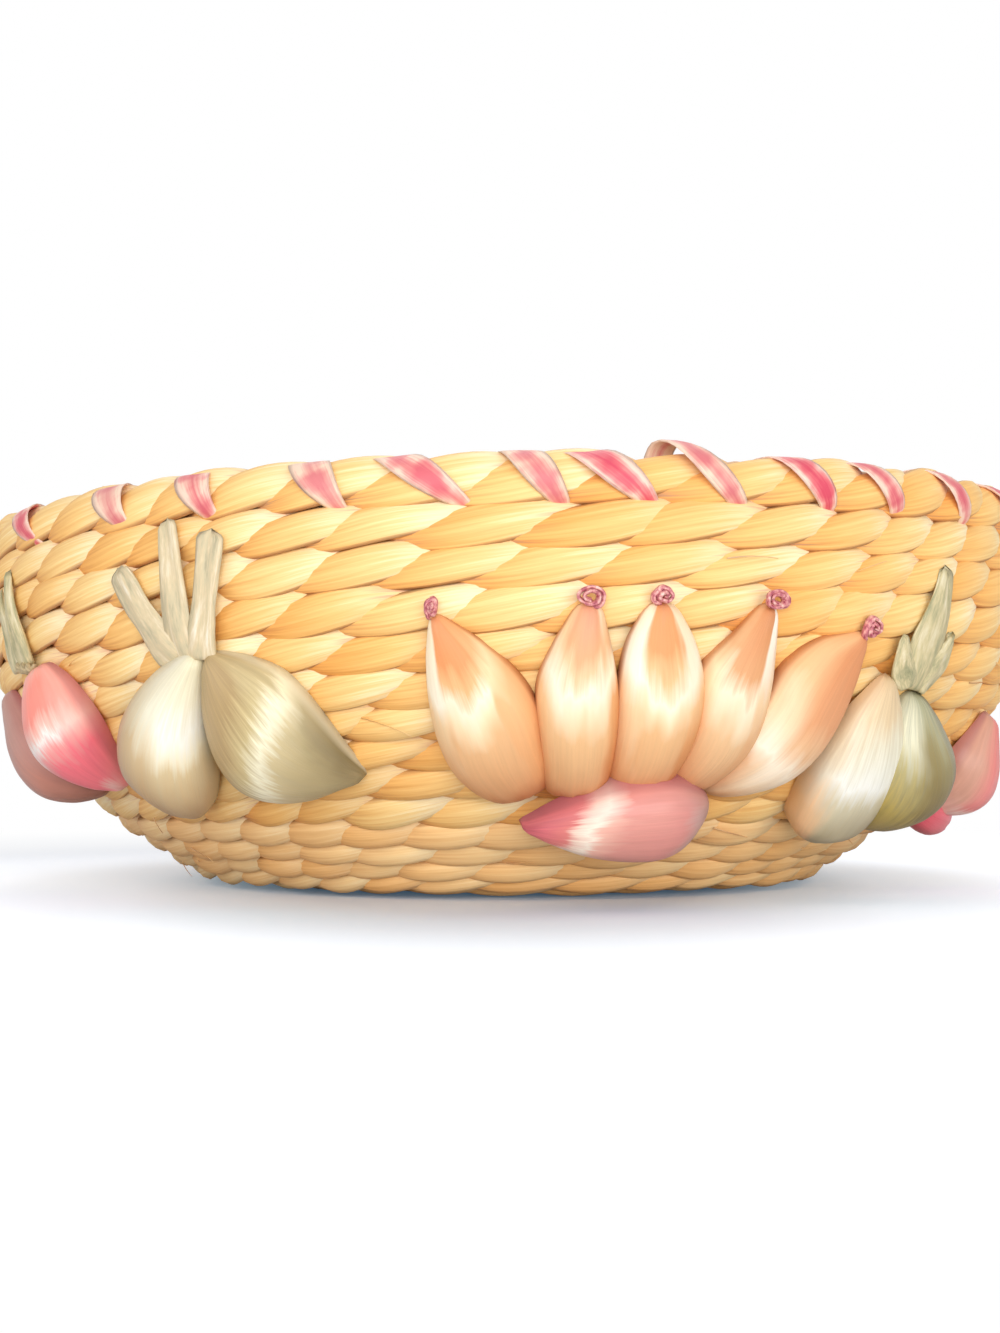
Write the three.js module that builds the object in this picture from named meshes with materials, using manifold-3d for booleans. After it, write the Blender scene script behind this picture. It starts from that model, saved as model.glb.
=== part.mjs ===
// A low round basket of twined straw with dried garlic cloves fixed along its front.
// Millimetres, +Z up. The origin is the middle of the flat underside, and the front faces -Y.
// "turn" is the angle round the basket from the front towards +X.
// "climb" is the distance up the outside of the wall from the foot, along its curve.
// "out" is the distance outwards from the outer face of the weave.

import * as THREE from 'three';
import Module from 'manifold-3d';

// Outline of the bowl
const footRadius = 105;
const rimRadius = 180;
const wallHeight = 117.5;
const footPullOut = 33;
const footPullUp = 18;
const rimPullOut = 18;
const rimPullDown = 59.5;
const rightSideRise = 8;

// Weave
const stakeCount = 21;
const rowCount = 12;
const strandThickness = 3.9;
const stakeThickness = 3.6;
const stakeWidth = 4.8;
const stakeRoom = 0.85;
const rowGap = 0.5;
const crossingShare = 0.47;
const paleRowCount = 3;

// Base
const footBand = 9;
const hubRadius = 24;
const hubThickness = 4;
const spokeRoom = 0.45;
const baseRowCount = 5;
const baseGroove = 0.9;
const baseValley = 3.4;
const hubValley = 2.2;

// Rim border and the dyed strip that is bound over it
const borderHeight = 12;
const strapWidth = 8;
const strapThickness = 1.1;
const strapRoom = 0.9;

// Cloves, bulb, stalks and curled tips
const seatGap = 0.3;
const neighbourGap = 0.35;
const tipGap = 0.8;
const toRadians = Math.PI / 180;

// Worked out from the sizes above
const strandOffset = stakeThickness / 2 + stakeRoom + strandThickness / 2;
const wallThickness = 2 * strandOffset + strandThickness;
const strapPassage = strapThickness + 2 * strapRoom;
const stakePitch = 2 * Math.PI / stakeCount;

const wallCurve = new THREE.CubicBezierCurve(
  new THREE.Vector2(footRadius, 0),
  new THREE.Vector2(footRadius + footPullOut, footPullUp),
  new THREE.Vector2(rimRadius + rimPullOut, wallHeight - rimPullDown),
  new THREE.Vector2(rimRadius, wallHeight)
);
const wallLength = wallCurve.getLength();
const rowHeight = (wallLength - footBand - strapPassage - borderHeight) / rowCount;

const wasm = await Module();
wasm.setup();

const strawRoughness = 0.6;
const raffiaRoughness = 0.55;
const huskRoughness = 0.45;

const straw = '#e9bf7e';
const paleStraw = '#dcb784';
const pink = '#dc6f74';
const peach = '#f0bd8c';
const cream = '#eadcb6';
const khaki = '#cdb98a';
const olive = '#aba06f';
const crimson = '#9c3a48';
const stalkGreen = '#cdc197';
const driedBrown = '#9d8463';

// A point of the section through the wall: x is the radius, y is the height.
function sectionPoint(climb, out) {
  const share = THREE.MathUtils.clamp(climb / wallLength, 0, 1);
  const point = wallCurve.getPointAt(share);
  const along = wallCurve.getTangentAt(share);
  point.addScaledVector(along, climb - share * wallLength);
  point.x += along.y * out;
  point.y -= along.x * out;
  return point;
}

// A point of the hand-made basket, whose rim is a little higher on its right side.
function wallPoint(turn, climb, out) {
  const section = sectionPoint(climb, out);
  const rise = 1 + rightSideRise / wallHeight * (1 + Math.sin(turn)) / 2;
  return new THREE.Vector3(
    section.x * Math.sin(turn), -section.x * Math.cos(turn), section.y * rise
  );
}

function signedVolume(points, faces) {
  let total = 0;
  for (let i = 0; i < faces.length; i += 3) {
    const [a, b, c] = [points[faces[i]], points[faces[i + 1]], points[faces[i + 2]]];
    total += a.dot(new THREE.Vector3().crossVectors(b, c));
  }
  return total;
}

// Skins a row of rings with equal numbers of points, as one closed body.
// A closed row of rings ends where it began; an open one is capped at both ends.
function loft(rings, closed) {
  const count = rings[0].length;
  const points = rings.flat();
  const faces = [];
  const spans = closed ? rings.length : rings.length - 1;
  for (let i = 0; i < spans; i++) {
    const here = i * count;
    const next = (i + 1) % rings.length * count;
    for (let j = 0; j < count; j++) {
      const k = (j + 1) % count;
      faces.push(here + j, here + k, next + k, here + j, next + k, next + j);
    }
  }
  if (!closed) {
    const last = (rings.length - 1) * count;
    for (let j = 1; j < count - 1; j++) {
      faces.push(0, j + 1, j, last, last + j, last + j + 1);
    }
  }
  if (signedVolume(points, faces) < 0) faces.reverse();
  const geometry = new THREE.BufferGeometry().setFromPoints(points);
  geometry.setIndex(faces);
  return geometry;
}

function solidOf(geometry) {
  return new wasm.Manifold(new wasm.Mesh({
    numProp: 3,
    vertProperties: new Float32Array(geometry.attributes.position.array),
    triVerts: new Uint32Array(geometry.index.array)
  }));
}

function geometryOf(solid) {
  const mesh = solid.getMesh();
  const geometry = new THREE.BufferGeometry();
  geometry.setAttribute('position', new THREE.BufferAttribute(mesh.vertProperties, mesh.numProp));
  geometry.setIndex(new THREE.BufferAttribute(mesh.triVerts, 1));
  return geometry;
}

// A body turned about the Z axis, from an outline that starts and ends on it.
// The first and last points are the two poles. "sink" lowers a point of the outline at every
// second segment.
function turned(outline, segments, sink = () => 0) {
  const [bottom, top] = [outline[0], outline[outline.length - 1]];
  const inner = outline.slice(1, -1);
  const points = [new THREE.Vector3(0, 0, bottom.y), new THREE.Vector3(0, 0, top.y)];
  for (const point of inner) {
    for (let i = 0; i < segments; i++) {
      const turn = 2 * Math.PI * i / segments;
      const height = point.y - (i % 2) * sink(point);
      points.push(new THREE.Vector3(point.x * Math.sin(turn), -point.x * Math.cos(turn), height));
    }
  }
  const faces = [];
  const at = (row, i) => 2 + row * segments + i % segments;
  for (let i = 0; i < segments; i++) {
    faces.push(0, at(0, i), at(0, i + 1));
    faces.push(1, at(inner.length - 1, i + 1), at(inner.length - 1, i));
    for (let row = 0; row < inner.length - 1; row++) {
      faces.push(at(row, i), at(row + 1, i), at(row + 1, i + 1));
      faces.push(at(row, i), at(row + 1, i + 1), at(row, i + 1));
    }
  }
  if (signedVolume(points, faces) < 0) faces.reverse();
  const geometry = new THREE.BufferGeometry().setFromPoints(points);
  geometry.setIndex(faces);
  return geometry;
}

const basket = new THREE.Group();

function add(name, geometry, color, roughness) {
  const material = new THREE.MeshStandardMaterial({ color, roughness, metalness: 0 });
  const mesh = new THREE.Mesh(geometry, material);
  mesh.name = name;
  basket.add(mesh);
  return mesh;
}

// One twined row. A single weaver is folded round a stake and its two halves are twisted
// half a turn between stakes, so with an odd number of stakes the weaver goes round twice
// and meets itself. It lies full height across each stake, and at half height where its
// halves cross.
function twinedRow(start, height) {
  const middle = start + height / 2;
  const tallHalf = (height - rowGap) / 2;
  const crossHalf = tallHalf * crossingShare;
  const crossRise = tallHalf - crossHalf;
  const stepsPerStake = 2;
  const steps = 2 * stakeCount * stepsPerStake;
  const rings = [];
  for (let i = 0; i < steps; i++) {
    const turn = stakePitch * i / stepsPerStake;
    const twist = Math.PI * i / stepsPerStake;
    const out = strandOffset * Math.cos(twist) - wallThickness / 2;
    const climb = middle + crossRise * Math.sin(twist);
    const half = i % stepsPerStake === 0 ? tallHalf : crossHalf;
    rings.push([
      wallPoint(turn, climb, out + strandThickness / 2),
      wallPoint(turn, climb + half, out),
      wallPoint(turn, climb, out - strandThickness / 2),
      wallPoint(turn, climb - half, out)
    ]);
  }
  return loft(rings, true);
}

const rowStart = (row) => footBand + row * rowHeight;
for (let row = 0; row < rowCount; row++) {
  const name = `weaver_row_${String(row + 1).padStart(2, '0')}`;
  const color = row < paleRowCount ? paleStraw : straw;
  add(name, twinedRow(rowStart(row), rowHeight), color, strawRoughness);
}
const borderStart = rowStart(rowCount) + strapPassage;
add('rim_border', twinedRow(borderStart, borderHeight), straw, strawRoughness);

// The stakes: spokes that cross in a hub in the base and turn up inside the wall.
// Their section is a diamond, thin across the wall. "room" grows it for the hole it needs.
function stake(number, room, topClimb) {
  const turn = stakePitch * number;
  const slope = Math.hypot(stakeThickness, stakeWidth);
  const halfThick = stakeThickness / 2 + room * slope / stakeWidth;
  const halfWide = stakeWidth / 2 + room * slope / stakeThickness;
  const across = new THREE.Vector3(Math.cos(turn), Math.sin(turn), 0).multiplyScalar(halfWide);
  const ring = (low, high, middle) => [
    low, middle.clone().add(across), high, middle.clone().sub(across)
  ];
  const flat = (radius) => {
    const point = (rise) => new THREE.Vector3(
      radius * Math.sin(turn), -radius * Math.cos(turn), wallThickness / 2 + rise
    );
    return ring(point(-halfThick), point(halfThick), point(0));
  };
  const upright = (climb) => {
    const point = (out) => wallPoint(turn, climb, out - wallThickness / 2);
    return ring(point(halfThick), point(-halfThick), point(0));
  };
  const rings = [flat(hubRadius - stakeWidth), flat(footRadius - wallThickness)];
  rings.push(upright(footBand / 2));
  for (let row = 0; row <= rowCount; row += 2) rings.push(upright(rowStart(row)));
  rings.push(upright(topClimb));
  return solidOf(loft(rings, false));
}

function stakeFrame(room) {
  const halfHub = hubThickness / 2 + room;
  const middle = wallThickness / 2;
  const hub = turned([
    new THREE.Vector2(0, middle - halfHub),
    new THREE.Vector2(hubRadius + room, middle - halfHub),
    new THREE.Vector2(hubRadius + room, middle + halfHub),
    new THREE.Vector2(0, middle + halfHub)
  ], 2 * stakeCount);
  let frame = solidOf(hub);
  for (let number = 0; number < stakeCount; number++) {
    frame = frame.add(stake(number, room, borderStart + borderHeight / 2));
  }
  return frame;
}
add('stake_frame', geometryOf(stakeFrame(0)), paleStraw, strawRoughness);

// The base: a flat round of weave with the spokes threaded through it, and a low band
// round its edge that the basket stands on. Inside, each row rises over every spoke and dips
// between two spokes, less deep over the hub.
function baseMat() {
  const edge = footBand - rowGap;
  const topRadius = sectionPoint(footBand / 2, -wallThickness).x;
  const outline = [
    new THREE.Vector2(0, 0),
    new THREE.Vector2(footRadius, 0),
    sectionPoint(edge / 2, 0),
    sectionPoint(edge, -strandThickness / 2),
    sectionPoint(edge, -wallThickness)
  ];
  const baseRow = topRadius / baseRowCount;
  const rowBottom = wallThickness - baseGroove;
  for (let row = 0; row < baseRowCount; row++) {
    const outer = topRadius - row * baseRow;
    outline.push(new THREE.Vector2(outer, rowBottom));
    outline.push(new THREE.Vector2(outer - baseRow / 2, wallThickness));
  }
  outline.push(new THREE.Vector2(0, rowBottom));
  const sink = (point) => {
    if (point.y < rowBottom || point.x >= topRadius) return 0;
    const dip = point.x > hubRadius + baseRow / 2 ? baseValley : hubValley;
    return dip - (wallThickness - point.y);
  };
  const mat = solidOf(turned(outline, 2 * stakeCount, sink));
  return geometryOf(mat.subtract(stakeFrame(spokeRoom)));
}
add('base_mat', baseMat(), paleStraw, strawRoughness);

// The dyed strip is wound over the rim border as one long coil, once between each pair of
// stakes. A wrap slants down across the outside, passes under the border midway between
// two stakes, climbs the inside and slants over the top to the next wrap.
const strapReachOut = wallThickness / 2 + strapRoom + strapThickness / 2;
const strapReachUp = borderHeight / 2 + strapRoom + strapThickness / 2;
const wrapStations = [
  { outShare: 0, upShare: 1, turnShare: -0.42, corner: false },
  { outShare: 1, upShare: 1, turnShare: -0.34, corner: true },
  { outShare: 1, upShare: 0, turnShare: -0.2, corner: false },
  { outShare: 1, upShare: -1, turnShare: -0.06, corner: true },
  { outShare: 0, upShare: -1, turnShare: 0, corner: false },
  { outShare: -1, upShare: -1, turnShare: 0.06, corner: true },
  { outShare: -1, upShare: 0, turnShare: 0.26, corner: false },
  { outShare: -1, upShare: 1, turnShare: 0.48, corner: true }
];

function strapPath() {
  const middle = borderStart + borderHeight / 2;
  const firstGap = Math.floor(stakeCount / 2) + 0.5;
  const path = [];
  for (let wrap = 0; wrap < stakeCount; wrap++) {
    for (const station of wrapStations) {
      const turn = stakePitch * (firstGap + wrap + station.turnShare);
      const lean = station.corner ? Math.SQRT1_2 : 1;
      path.push({
        turn,
        climb: middle + strapReachUp * station.upShare,
        out: strapReachOut * station.outShare - wallThickness / 2,
        upLean: station.upShare * lean,
        outLean: station.outShare * lean,
        corner: station.corner
      });
    }
  }
  return path;
}

function rimStrap() {
  const half = strapThickness / 2;
  const rings = strapPath().map((spot) => {
    const miter = spot.corner ? Math.SQRT2 : 1;
    const radius = sectionPoint(spot.climb, spot.out).x;
    const side = strapWidth / 2 / radius;
    const point = (turn, offset) => wallPoint(
      turn,
      spot.climb + offset * miter * spot.upLean,
      spot.out + offset * miter * spot.outLean
    );
    return [
      point(spot.turn - side, half), point(spot.turn + side, half),
      point(spot.turn + side, -half), point(spot.turn - side, -half)
    ];
  });
  return loft(rings, false);
}
add('rim_strap', rimStrap(), pink, raffiaRoughness);

// Least distance between one wrap of the strip and the next, measured on its path.
function strapSelfGap() {
  const spots = strapPath().map((spot) => wallPoint(spot.turn, spot.climb, spot.out));
  const perWrap = wrapStations.length;
  let least = Infinity;
  for (let i = 0; i < spots.length; i++) {
    for (let j = i + perWrap / 2; j < spots.length; j++) {
      least = Math.min(least, spots[i].distanceTo(spots[j]));
    }
  }
  return least - strapThickness;
}
console.log(`least gap of the rim strip to itself: ${strapSelfGap().toFixed(2)} mm`);

// The pieces on the wall: depths from the neck to the far end, as shares of the depth, and how
// full the arch over them is, where 1 is a round arch and less is fuller. The plain ones have
// their half widths here too, as shares of the width.
const cloveForm = { depthShares: [0.35, 0.6, 0.88, 1, 0.95, 0.7, 0.35], fullness: 0.8 };
const bulbForm = { depthShares: [0.3, 0.6, 0.92, 1, 0.92, 0.66, 0.3], fullness: 0.85 };
const leafForm = { depthShares: [0.4, 0.7, 0.95, 1, 0.84, 0.6, 0.3], fullness: 0.8 };
const plumpForm = { depthShares: [0.3, 0.58, 0.84, 0.96, 1, 0.94, 0.62], fullness: 0.62 };
const stalkForm = {
  depthShares: [1, 0.85, 0.8, 0.5], fullness: 1,
  leftShares: [0.48, 0.45, 0.45, 0.3], rightShares: [0.48, 0.45, 0.45, 0.3]
};
const tieForm = {
  depthShares: [0.8, 1, 1, 0.6], fullness: 1,
  leftShares: [0.3, 0.5, 0.4, 0.25], rightShares: [0.3, 0.5, 0.4, 0.25]
};
const curlForm = {
  depthShares: [0.8, 1, 1, 0.6], fullness: 1,
  leftShares: [0.3, 0.24, 0.14, 0.05], rightShares: [0.3, 0.62, 0.6, 0.4]
};

// Groups of pieces, each round one place on the wall.
const fan = { turn: 13 * toRadians, climbShare: 0.563 };
const leftGarlic = { turn: -29 * toRadians, climbShare: 0.662 };
const leftEdge = { turn: -52 * toRadians, climbShare: 0.609 };
const rightGarlic = { turn: 41 * toRadians, climbShare: 0.609 };
const rightEdge = { turn: 61 * toRadians, climbShare: 0.397 };

// "across" and "up" give the neck's place from the group's, and "leanAngle" turns the piece from
// hanging straight down towards the right. "leftShares" and "rightShares" are its half widths on
// either side of that line, as shares of its width.
const fanClove1 = {
  group: fan, form: cloveForm, color: peach, leanAngle: 20.5 * toRadians,
  across: -57.5, up: 25.5, length: 63, width: 29, depth: 12.5,
  leftShares: [0.06, 0.22, 0.36, 0.45, 0.48, 0.4, 0.24],
  rightShares: [0.06, 0.28, 0.46, 0.54, 0.52, 0.48, 0.34]
};
const fanClove2 = {
  group: fan, form: cloveForm, color: peach, leanAngle: 2 * toRadians,
  across: -19.3, up: 28.3, length: 57.5, width: 22.2, depth: 12.5,
  leftShares: [0.1, 0.38, 0.58, 0.6, 0.57, 0.53, 0.41],
  rightShares: [0.08, 0.23, 0.34, 0.4, 0.41, 0.41, 0.36]
};
const fanClove3 = {
  group: fan, form: cloveForm, color: peach, leanAngle: 1 * toRadians,
  across: -1, up: 28.3, length: 56.5, width: 24.2, depth: 13,
  leftShares: [0.11, 0.34, 0.41, 0.43, 0.44, 0.43, 0.37],
  rightShares: [0.12, 0.38, 0.53, 0.57, 0.54, 0.47, 0.33]
};
const fanClove4 = {
  group: fan, form: cloveForm, color: peach, leanAngle: -13.5 * toRadians,
  across: 29, up: 28, length: 60, width: 24.4, depth: 11.5,
  leftShares: [0.07, 0.3, 0.52, 0.53, 0.48, 0.43, 0.29],
  rightShares: [0.06, 0.2, 0.36, 0.47, 0.5, 0.42, 0.29]
};
const fanClove5 = {
  group: fan, form: cloveForm, color: peach, leanAngle: -34 * toRadians,
  across: 60.5, up: 21, length: 63, width: 27.4, depth: 12,
  leftShares: [0.07, 0.41, 0.54, 0.45, 0.38, 0.33, 0.22],
  rightShares: [0.07, 0.29, 0.46, 0.55, 0.54, 0.39, 0.18]
};
const frontPinkClove = {
  group: fan, form: plumpForm, color: pink, leanAngle: 95 * toRadians,
  across: -35.5, up: -39, length: 52, width: 25.8, depth: 17,
  leftShares: [0.02, 0.18, 0.29, 0.36, 0.4, 0.4, 0.33],
  rightShares: [0.02, 0.25, 0.44, 0.57, 0.6, 0.57, 0.45]
};
const leftCreamClove = {
  group: leftGarlic, form: cloveForm, color: cream, leanAngle: -27 * toRadians,
  across: 2.5, up: 3, length: 63, width: 31.4, depth: 16,
  leftShares: [0.08, 0.34, 0.54, 0.67, 0.72, 0.59, 0.16],
  rightShares: [0.06, 0.15, 0.21, 0.27, 0.28, 0.2, 0.05]
};
const leftGreenClove = {
  group: leftGarlic, form: leafForm, color: khaki, leanAngle: 44 * toRadians,
  across: 5, up: 2, length: 55, width: 40.4, depth: 14,
  leftShares: [0.05, 0.41, 0.64, 0.74, 0.68, 0.47, 0.07],
  rightShares: [0.05, 0.19, 0.28, 0.26, 0.18, 0.09, 0.01]
};
const leftEdgePinkClove = {
  group: leftEdge, form: leafForm, color: pink, leanAngle: 15 * toRadians,
  across: 1, up: 10.5, length: 45, width: 30.4, depth: 16,
  leftShares: [0.16, 0.34, 0.45, 0.49, 0.43, 0.3, 0.07],
  rightShares: [0.2, 0.41, 0.5, 0.51, 0.41, 0.24, 0.05]
};
const leftEdgeRedClove = {
  group: leftEdge, form: cloveForm, color: pink, leanAngle: 32 * toRadians,
  across: -38, up: 4, length: 48, width: 22.8, depth: 15,
  leftShares: [0.11, 0.38, 0.58, 0.69, 0.68, 0.49, 0.22],
  rightShares: [0.08, 0.17, 0.28, 0.31, 0.32, 0.31, 0.22]
};
const rightCreamClove = {
  group: rightGarlic, form: plumpForm, color: cream, leanAngle: 4 * toRadians,
  across: -10.5, up: 2.8, length: 57, width: 32, depth: 14,
  leftShares: [0.06, 0.3, 0.43, 0.48, 0.46, 0.39, 0.26],
  rightShares: [0.06, 0.23, 0.38, 0.49, 0.54, 0.48, 0.31]
};
const rightGreenBulb = {
  group: rightGarlic, form: bulbForm, color: olive, leanAngle: 12 * toRadians,
  across: 4, up: -2, length: 47, width: 32.4, depth: 21,
  leftShares: [0.1, 0.25, 0.34, 0.37, 0.36, 0.3, 0.15],
  rightShares: [0.1, 0.32, 0.52, 0.63, 0.63, 0.49, 0.25]
};
const rightEdgePinkClove = {
  group: rightEdge, form: cloveForm, color: pink, leanAngle: 2 * toRadians,
  across: 9, up: 24.5, length: 37, width: 22.4, depth: 17,
  leftShares: [0.1, 0.25, 0.39, 0.45, 0.43, 0.35, 0.21],
  rightShares: [0.1, 0.29, 0.44, 0.55, 0.56, 0.44, 0.24]
};
const rightEdgeRedClove = {
  group: rightEdge, form: plumpForm, color: pink, leanAngle: 88 * toRadians,
  across: -13, up: -11, length: 41, width: 14.2, depth: 13,
  leftShares: [0.08, 0.25, 0.37, 0.42, 0.44, 0.39, 0.3],
  rightShares: [0.08, 0.31, 0.46, 0.54, 0.56, 0.54, 0.39]
};
const leftStalk1 = {
  group: leftGarlic, form: stalkForm, color: stalkGreen, leanAngle: 220.5 * toRadians,
  across: 0, up: 2.5, length: 32, width: 8, depth: 3
};
const leftStalk2 = {
  group: leftGarlic, form: stalkForm, color: stalkGreen, leanAngle: 188.5 * toRadians,
  across: 1, up: 3, length: 37, width: 6.6, depth: 3
};
const leftStalk3 = {
  group: leftGarlic, form: stalkForm, color: stalkGreen, leanAngle: 167.5 * toRadians,
  across: 4, up: 2, length: 33, width: 8.4, depth: 3
};
const leftEdgeStalk1 = {
  group: leftEdge, form: stalkForm, color: stalkGreen, leanAngle: 206 * toRadians,
  across: -7, up: 12, length: 27, width: 8, depth: 3
};
const leftEdgeStalk2 = {
  group: leftEdge, form: stalkForm, color: stalkGreen, leanAngle: 183 * toRadians,
  across: -3, up: 13, length: 24, width: 8, depth: 3
};
const rightStalk1 = {
  group: rightGarlic, form: stalkForm, color: stalkGreen, leanAngle: 228 * toRadians,
  across: -0.5, up: -2, length: 19, width: 8, depth: 3
};
const rightStalk2 = {
  group: rightGarlic, form: stalkForm, color: stalkGreen, leanAngle: 184 * toRadians,
  across: 1.5, up: -2, length: 33, width: 9, depth: 3
};
const rightStalk3 = {
  group: rightGarlic, form: stalkForm, color: stalkGreen, leanAngle: 149 * toRadians,
  across: 3, up: -2, length: 21, width: 9, depth: 3
};
const leftEdgeTie = {
  group: leftEdge, form: tieForm, color: driedBrown, leanAngle: 84 * toRadians,
  across: -10, up: 13, length: 12, width: 5, depth: 5
};

// Each fan clove ends in a curled crimson tip above its neck.
const fanTip = { form: curlForm, color: crimson, length: 7, width: 6, depth: 6 };
const fanTips = [
  { number: 1, clove: fanClove1, leanAngle: 160 * toRadians },
  { number: 2, clove: fanClove2, leanAngle: 200 * toRadians },
  { number: 3, clove: fanClove3, leanAngle: 175 * toRadians },
  { number: 4, clove: fanClove4, leanAngle: 215 * toRadians },
  { number: 5, clove: fanClove5, leanAngle: 150 * toRadians }
];

function tipOf({ number, clove, leanAngle }) {
  const away = clove.leanAngle + Math.PI;
  return {
    ...fanTip, name: `fan_tip_${number}`, group: clove.group, leanAngle,
    across: clove.across + Math.sin(away) * tipGap,
    up: clove.up - Math.cos(away) * tipGap
  };
}

const pieces = [
  { name: 'fan_clove_1', ...fanClove1 },
  { name: 'fan_clove_2', ...fanClove2 },
  { name: 'fan_clove_3', ...fanClove3 },
  { name: 'fan_clove_4', ...fanClove4 },
  { name: 'fan_clove_5', ...fanClove5 },
  { name: 'front_pink_clove', ...frontPinkClove },
  { name: 'left_cream_clove', ...leftCreamClove },
  { name: 'left_green_clove', ...leftGreenClove },
  { name: 'left_edge_pink_clove', ...leftEdgePinkClove },
  { name: 'left_edge_red_clove', ...leftEdgeRedClove },
  { name: 'right_cream_clove', ...rightCreamClove },
  { name: 'right_green_bulb', ...rightGreenBulb },
  { name: 'right_edge_pink_clove', ...rightEdgePinkClove },
  { name: 'right_edge_red_clove', ...rightEdgeRedClove },
  { name: 'left_stalk_1', ...leftStalk1 },
  { name: 'left_stalk_2', ...leftStalk2 },
  { name: 'left_stalk_3', ...leftStalk3 },
  { name: 'left_edge_stalk_1', ...leftEdgeStalk1 },
  { name: 'left_edge_stalk_2', ...leftEdgeStalk2 },
  { name: 'right_stalk_1', ...rightStalk1 },
  { name: 'right_stalk_2', ...rightStalk2 },
  { name: 'right_stalk_3', ...rightStalk3 },
  { name: 'left_edge_tie', ...leftEdgeTie },
  ...fanTips.map(tipOf)
];

// The piece's frame on the wall: where its neck is and how far a turn reaches there.
function neckOf(piece) {
  const groupClimb = wallLength * piece.group.climbShare;
  const groupRadius = sectionPoint(groupClimb, 0).x;
  const climb = groupClimb + piece.up;
  return {
    turn: piece.group.turn + piece.across / groupRadius,
    climb,
    reach: sectionPoint(climb - Math.cos(piece.leanAngle) * piece.length / 2, 0).x
  };
}

// The outer face of the weave stands out at each stake and falls back between two stakes.
function weaveFace(turn) {
  const stakes = turn / stakePitch;
  return -strandOffset * 2 * Math.abs(stakes - Math.round(stakes));
}

// How far out a piece sits: on the stake that it crosses, or down between two stakes.
function seatOf(turns) {
  const low = Math.min(...turns);
  const high = Math.max(...turns);
  const crossesStake = Math.floor(high / stakePitch) > Math.floor(low / stakePitch);
  return seatGap + (crossesStake ? 0 : Math.max(weaveFace(low), weaveFace(high)));
}

// A piece with a flat back against the wall and a rounded front. "room" grows it on
// every side for the space it takes out of a neighbour.
function wallPiece(piece, room = 0) {
  const neck = neckOf(piece);
  const run = new THREE.Vector2(Math.sin(piece.leanAngle), -Math.cos(piece.leanAngle));
  const side = new THREE.Vector2(-run.y, run.x);
  const { depthShares, leftShares, rightShares, fullness } = { ...piece.form, ...piece };
  const last = depthShares.length - 1;
  const frontPoints = 5;
  const stations = depthShares.map((depthShare, i) => {
    const share = i / last;
    const along = share * piece.length;
    const middle = piece.width * (rightShares[i] - leftShares[i]) / 2;
    const half = piece.width * (rightShares[i] + leftShares[i]) / 2;
    const place = (sideways, ahead) => ({
      turn: neck.turn + (run.x * (along + ahead) + side.x * (middle + sideways)) / neck.reach,
      climb: neck.climb + run.y * (along + ahead) + side.y * (middle + sideways)
    });
    return { half, deep: piece.depth * depthShare, place, ahead: (2 * share - 1) * room };
  });
  const sides = stations.flatMap(({ half, place }) => [place(-half, 0).turn, place(half, 0).turn]);
  const seat = seatOf(sides);
  const rings = stations.map(({ half, deep, place, ahead }) => {
    const ring = [];
    const put = (sideways, out) => {
      const { turn, climb } = place(sideways, ahead);
      ring.push(wallPoint(turn, climb, seat + out));
    };
    put(0, -room);
    for (let j = 0; j < frontPoints; j++) {
      const angle = Math.PI * (j / (frontPoints - 1) - 0.5);
      const arch = Math.max(Math.cos(angle), 0) ** fullness;
      put((half + room) * Math.sin(angle), (deep + 2 * room) * arch - room);
    }
    return ring;
  });
  return loft(rings, false);
}

// Pieces that are trimmed where a neighbour lies against them.
const trimmedBy = {
  fan_clove_1: ['fan_clove_2', 'front_pink_clove'],
  fan_clove_2: ['front_pink_clove'],
  fan_clove_3: ['fan_clove_2', 'front_pink_clove'],
  fan_clove_4: ['fan_clove_3', 'front_pink_clove'],
  fan_clove_5: ['fan_clove_4', 'front_pink_clove'],
  left_green_clove: ['left_cream_clove'],
  left_edge_red_clove: ['left_edge_pink_clove'],
  right_cream_clove: ['fan_clove_5'],
  right_green_bulb: ['right_cream_clove'],
  right_edge_pink_clove: ['right_green_bulb'],
  right_edge_red_clove: ['right_green_bulb', 'right_edge_pink_clove', 'right_cream_clove']
};
for (const number of [1, 2, 3]) {
  trimmedBy[`left_stalk_${number}`] = ['left_cream_clove', 'left_green_clove'];
  trimmedBy[`right_stalk_${number}`] = ['right_cream_clove', 'right_green_bulb'];
}
trimmedBy.left_stalk_1.push('left_stalk_2');
trimmedBy.left_stalk_3.push('left_stalk_2');
trimmedBy.right_stalk_1.push('right_stalk_2');
trimmedBy.right_stalk_3.push('right_stalk_2');
trimmedBy.left_edge_tie = ['left_edge_pink_clove'];
trimmedBy.left_edge_stalk_1 = ['left_edge_pink_clove', 'left_edge_tie', 'left_edge_stalk_2'];
trimmedBy.left_edge_stalk_2 = ['left_edge_pink_clove', 'left_edge_tie'];
for (const number of [1, 2, 3, 4, 5]) {
  trimmedBy[`fan_tip_${number}`] = [`fan_clove_${number}`];
}

const byName = new Map(pieces.map((piece) => [piece.name, piece]));
for (const piece of pieces) {
  let solid = solidOf(wallPiece(piece));
  for (const name of trimmedBy[piece.name] ?? []) {
    solid = solid.subtract(solidOf(wallPiece(byName.get(name), neighbourGap)));
  }
  add(piece.name, geometryOf(solid), piece.color, huskRoughness);
}

export default basket;
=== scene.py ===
# A low round basket of twined straw, with dried garlic cloves fixed along its front.
# Sizes in the dictionaries are millimetres and degrees; the meshes are in metres.
import math
import random

import bmesh
import bpy
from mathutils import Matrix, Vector, noise


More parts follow.
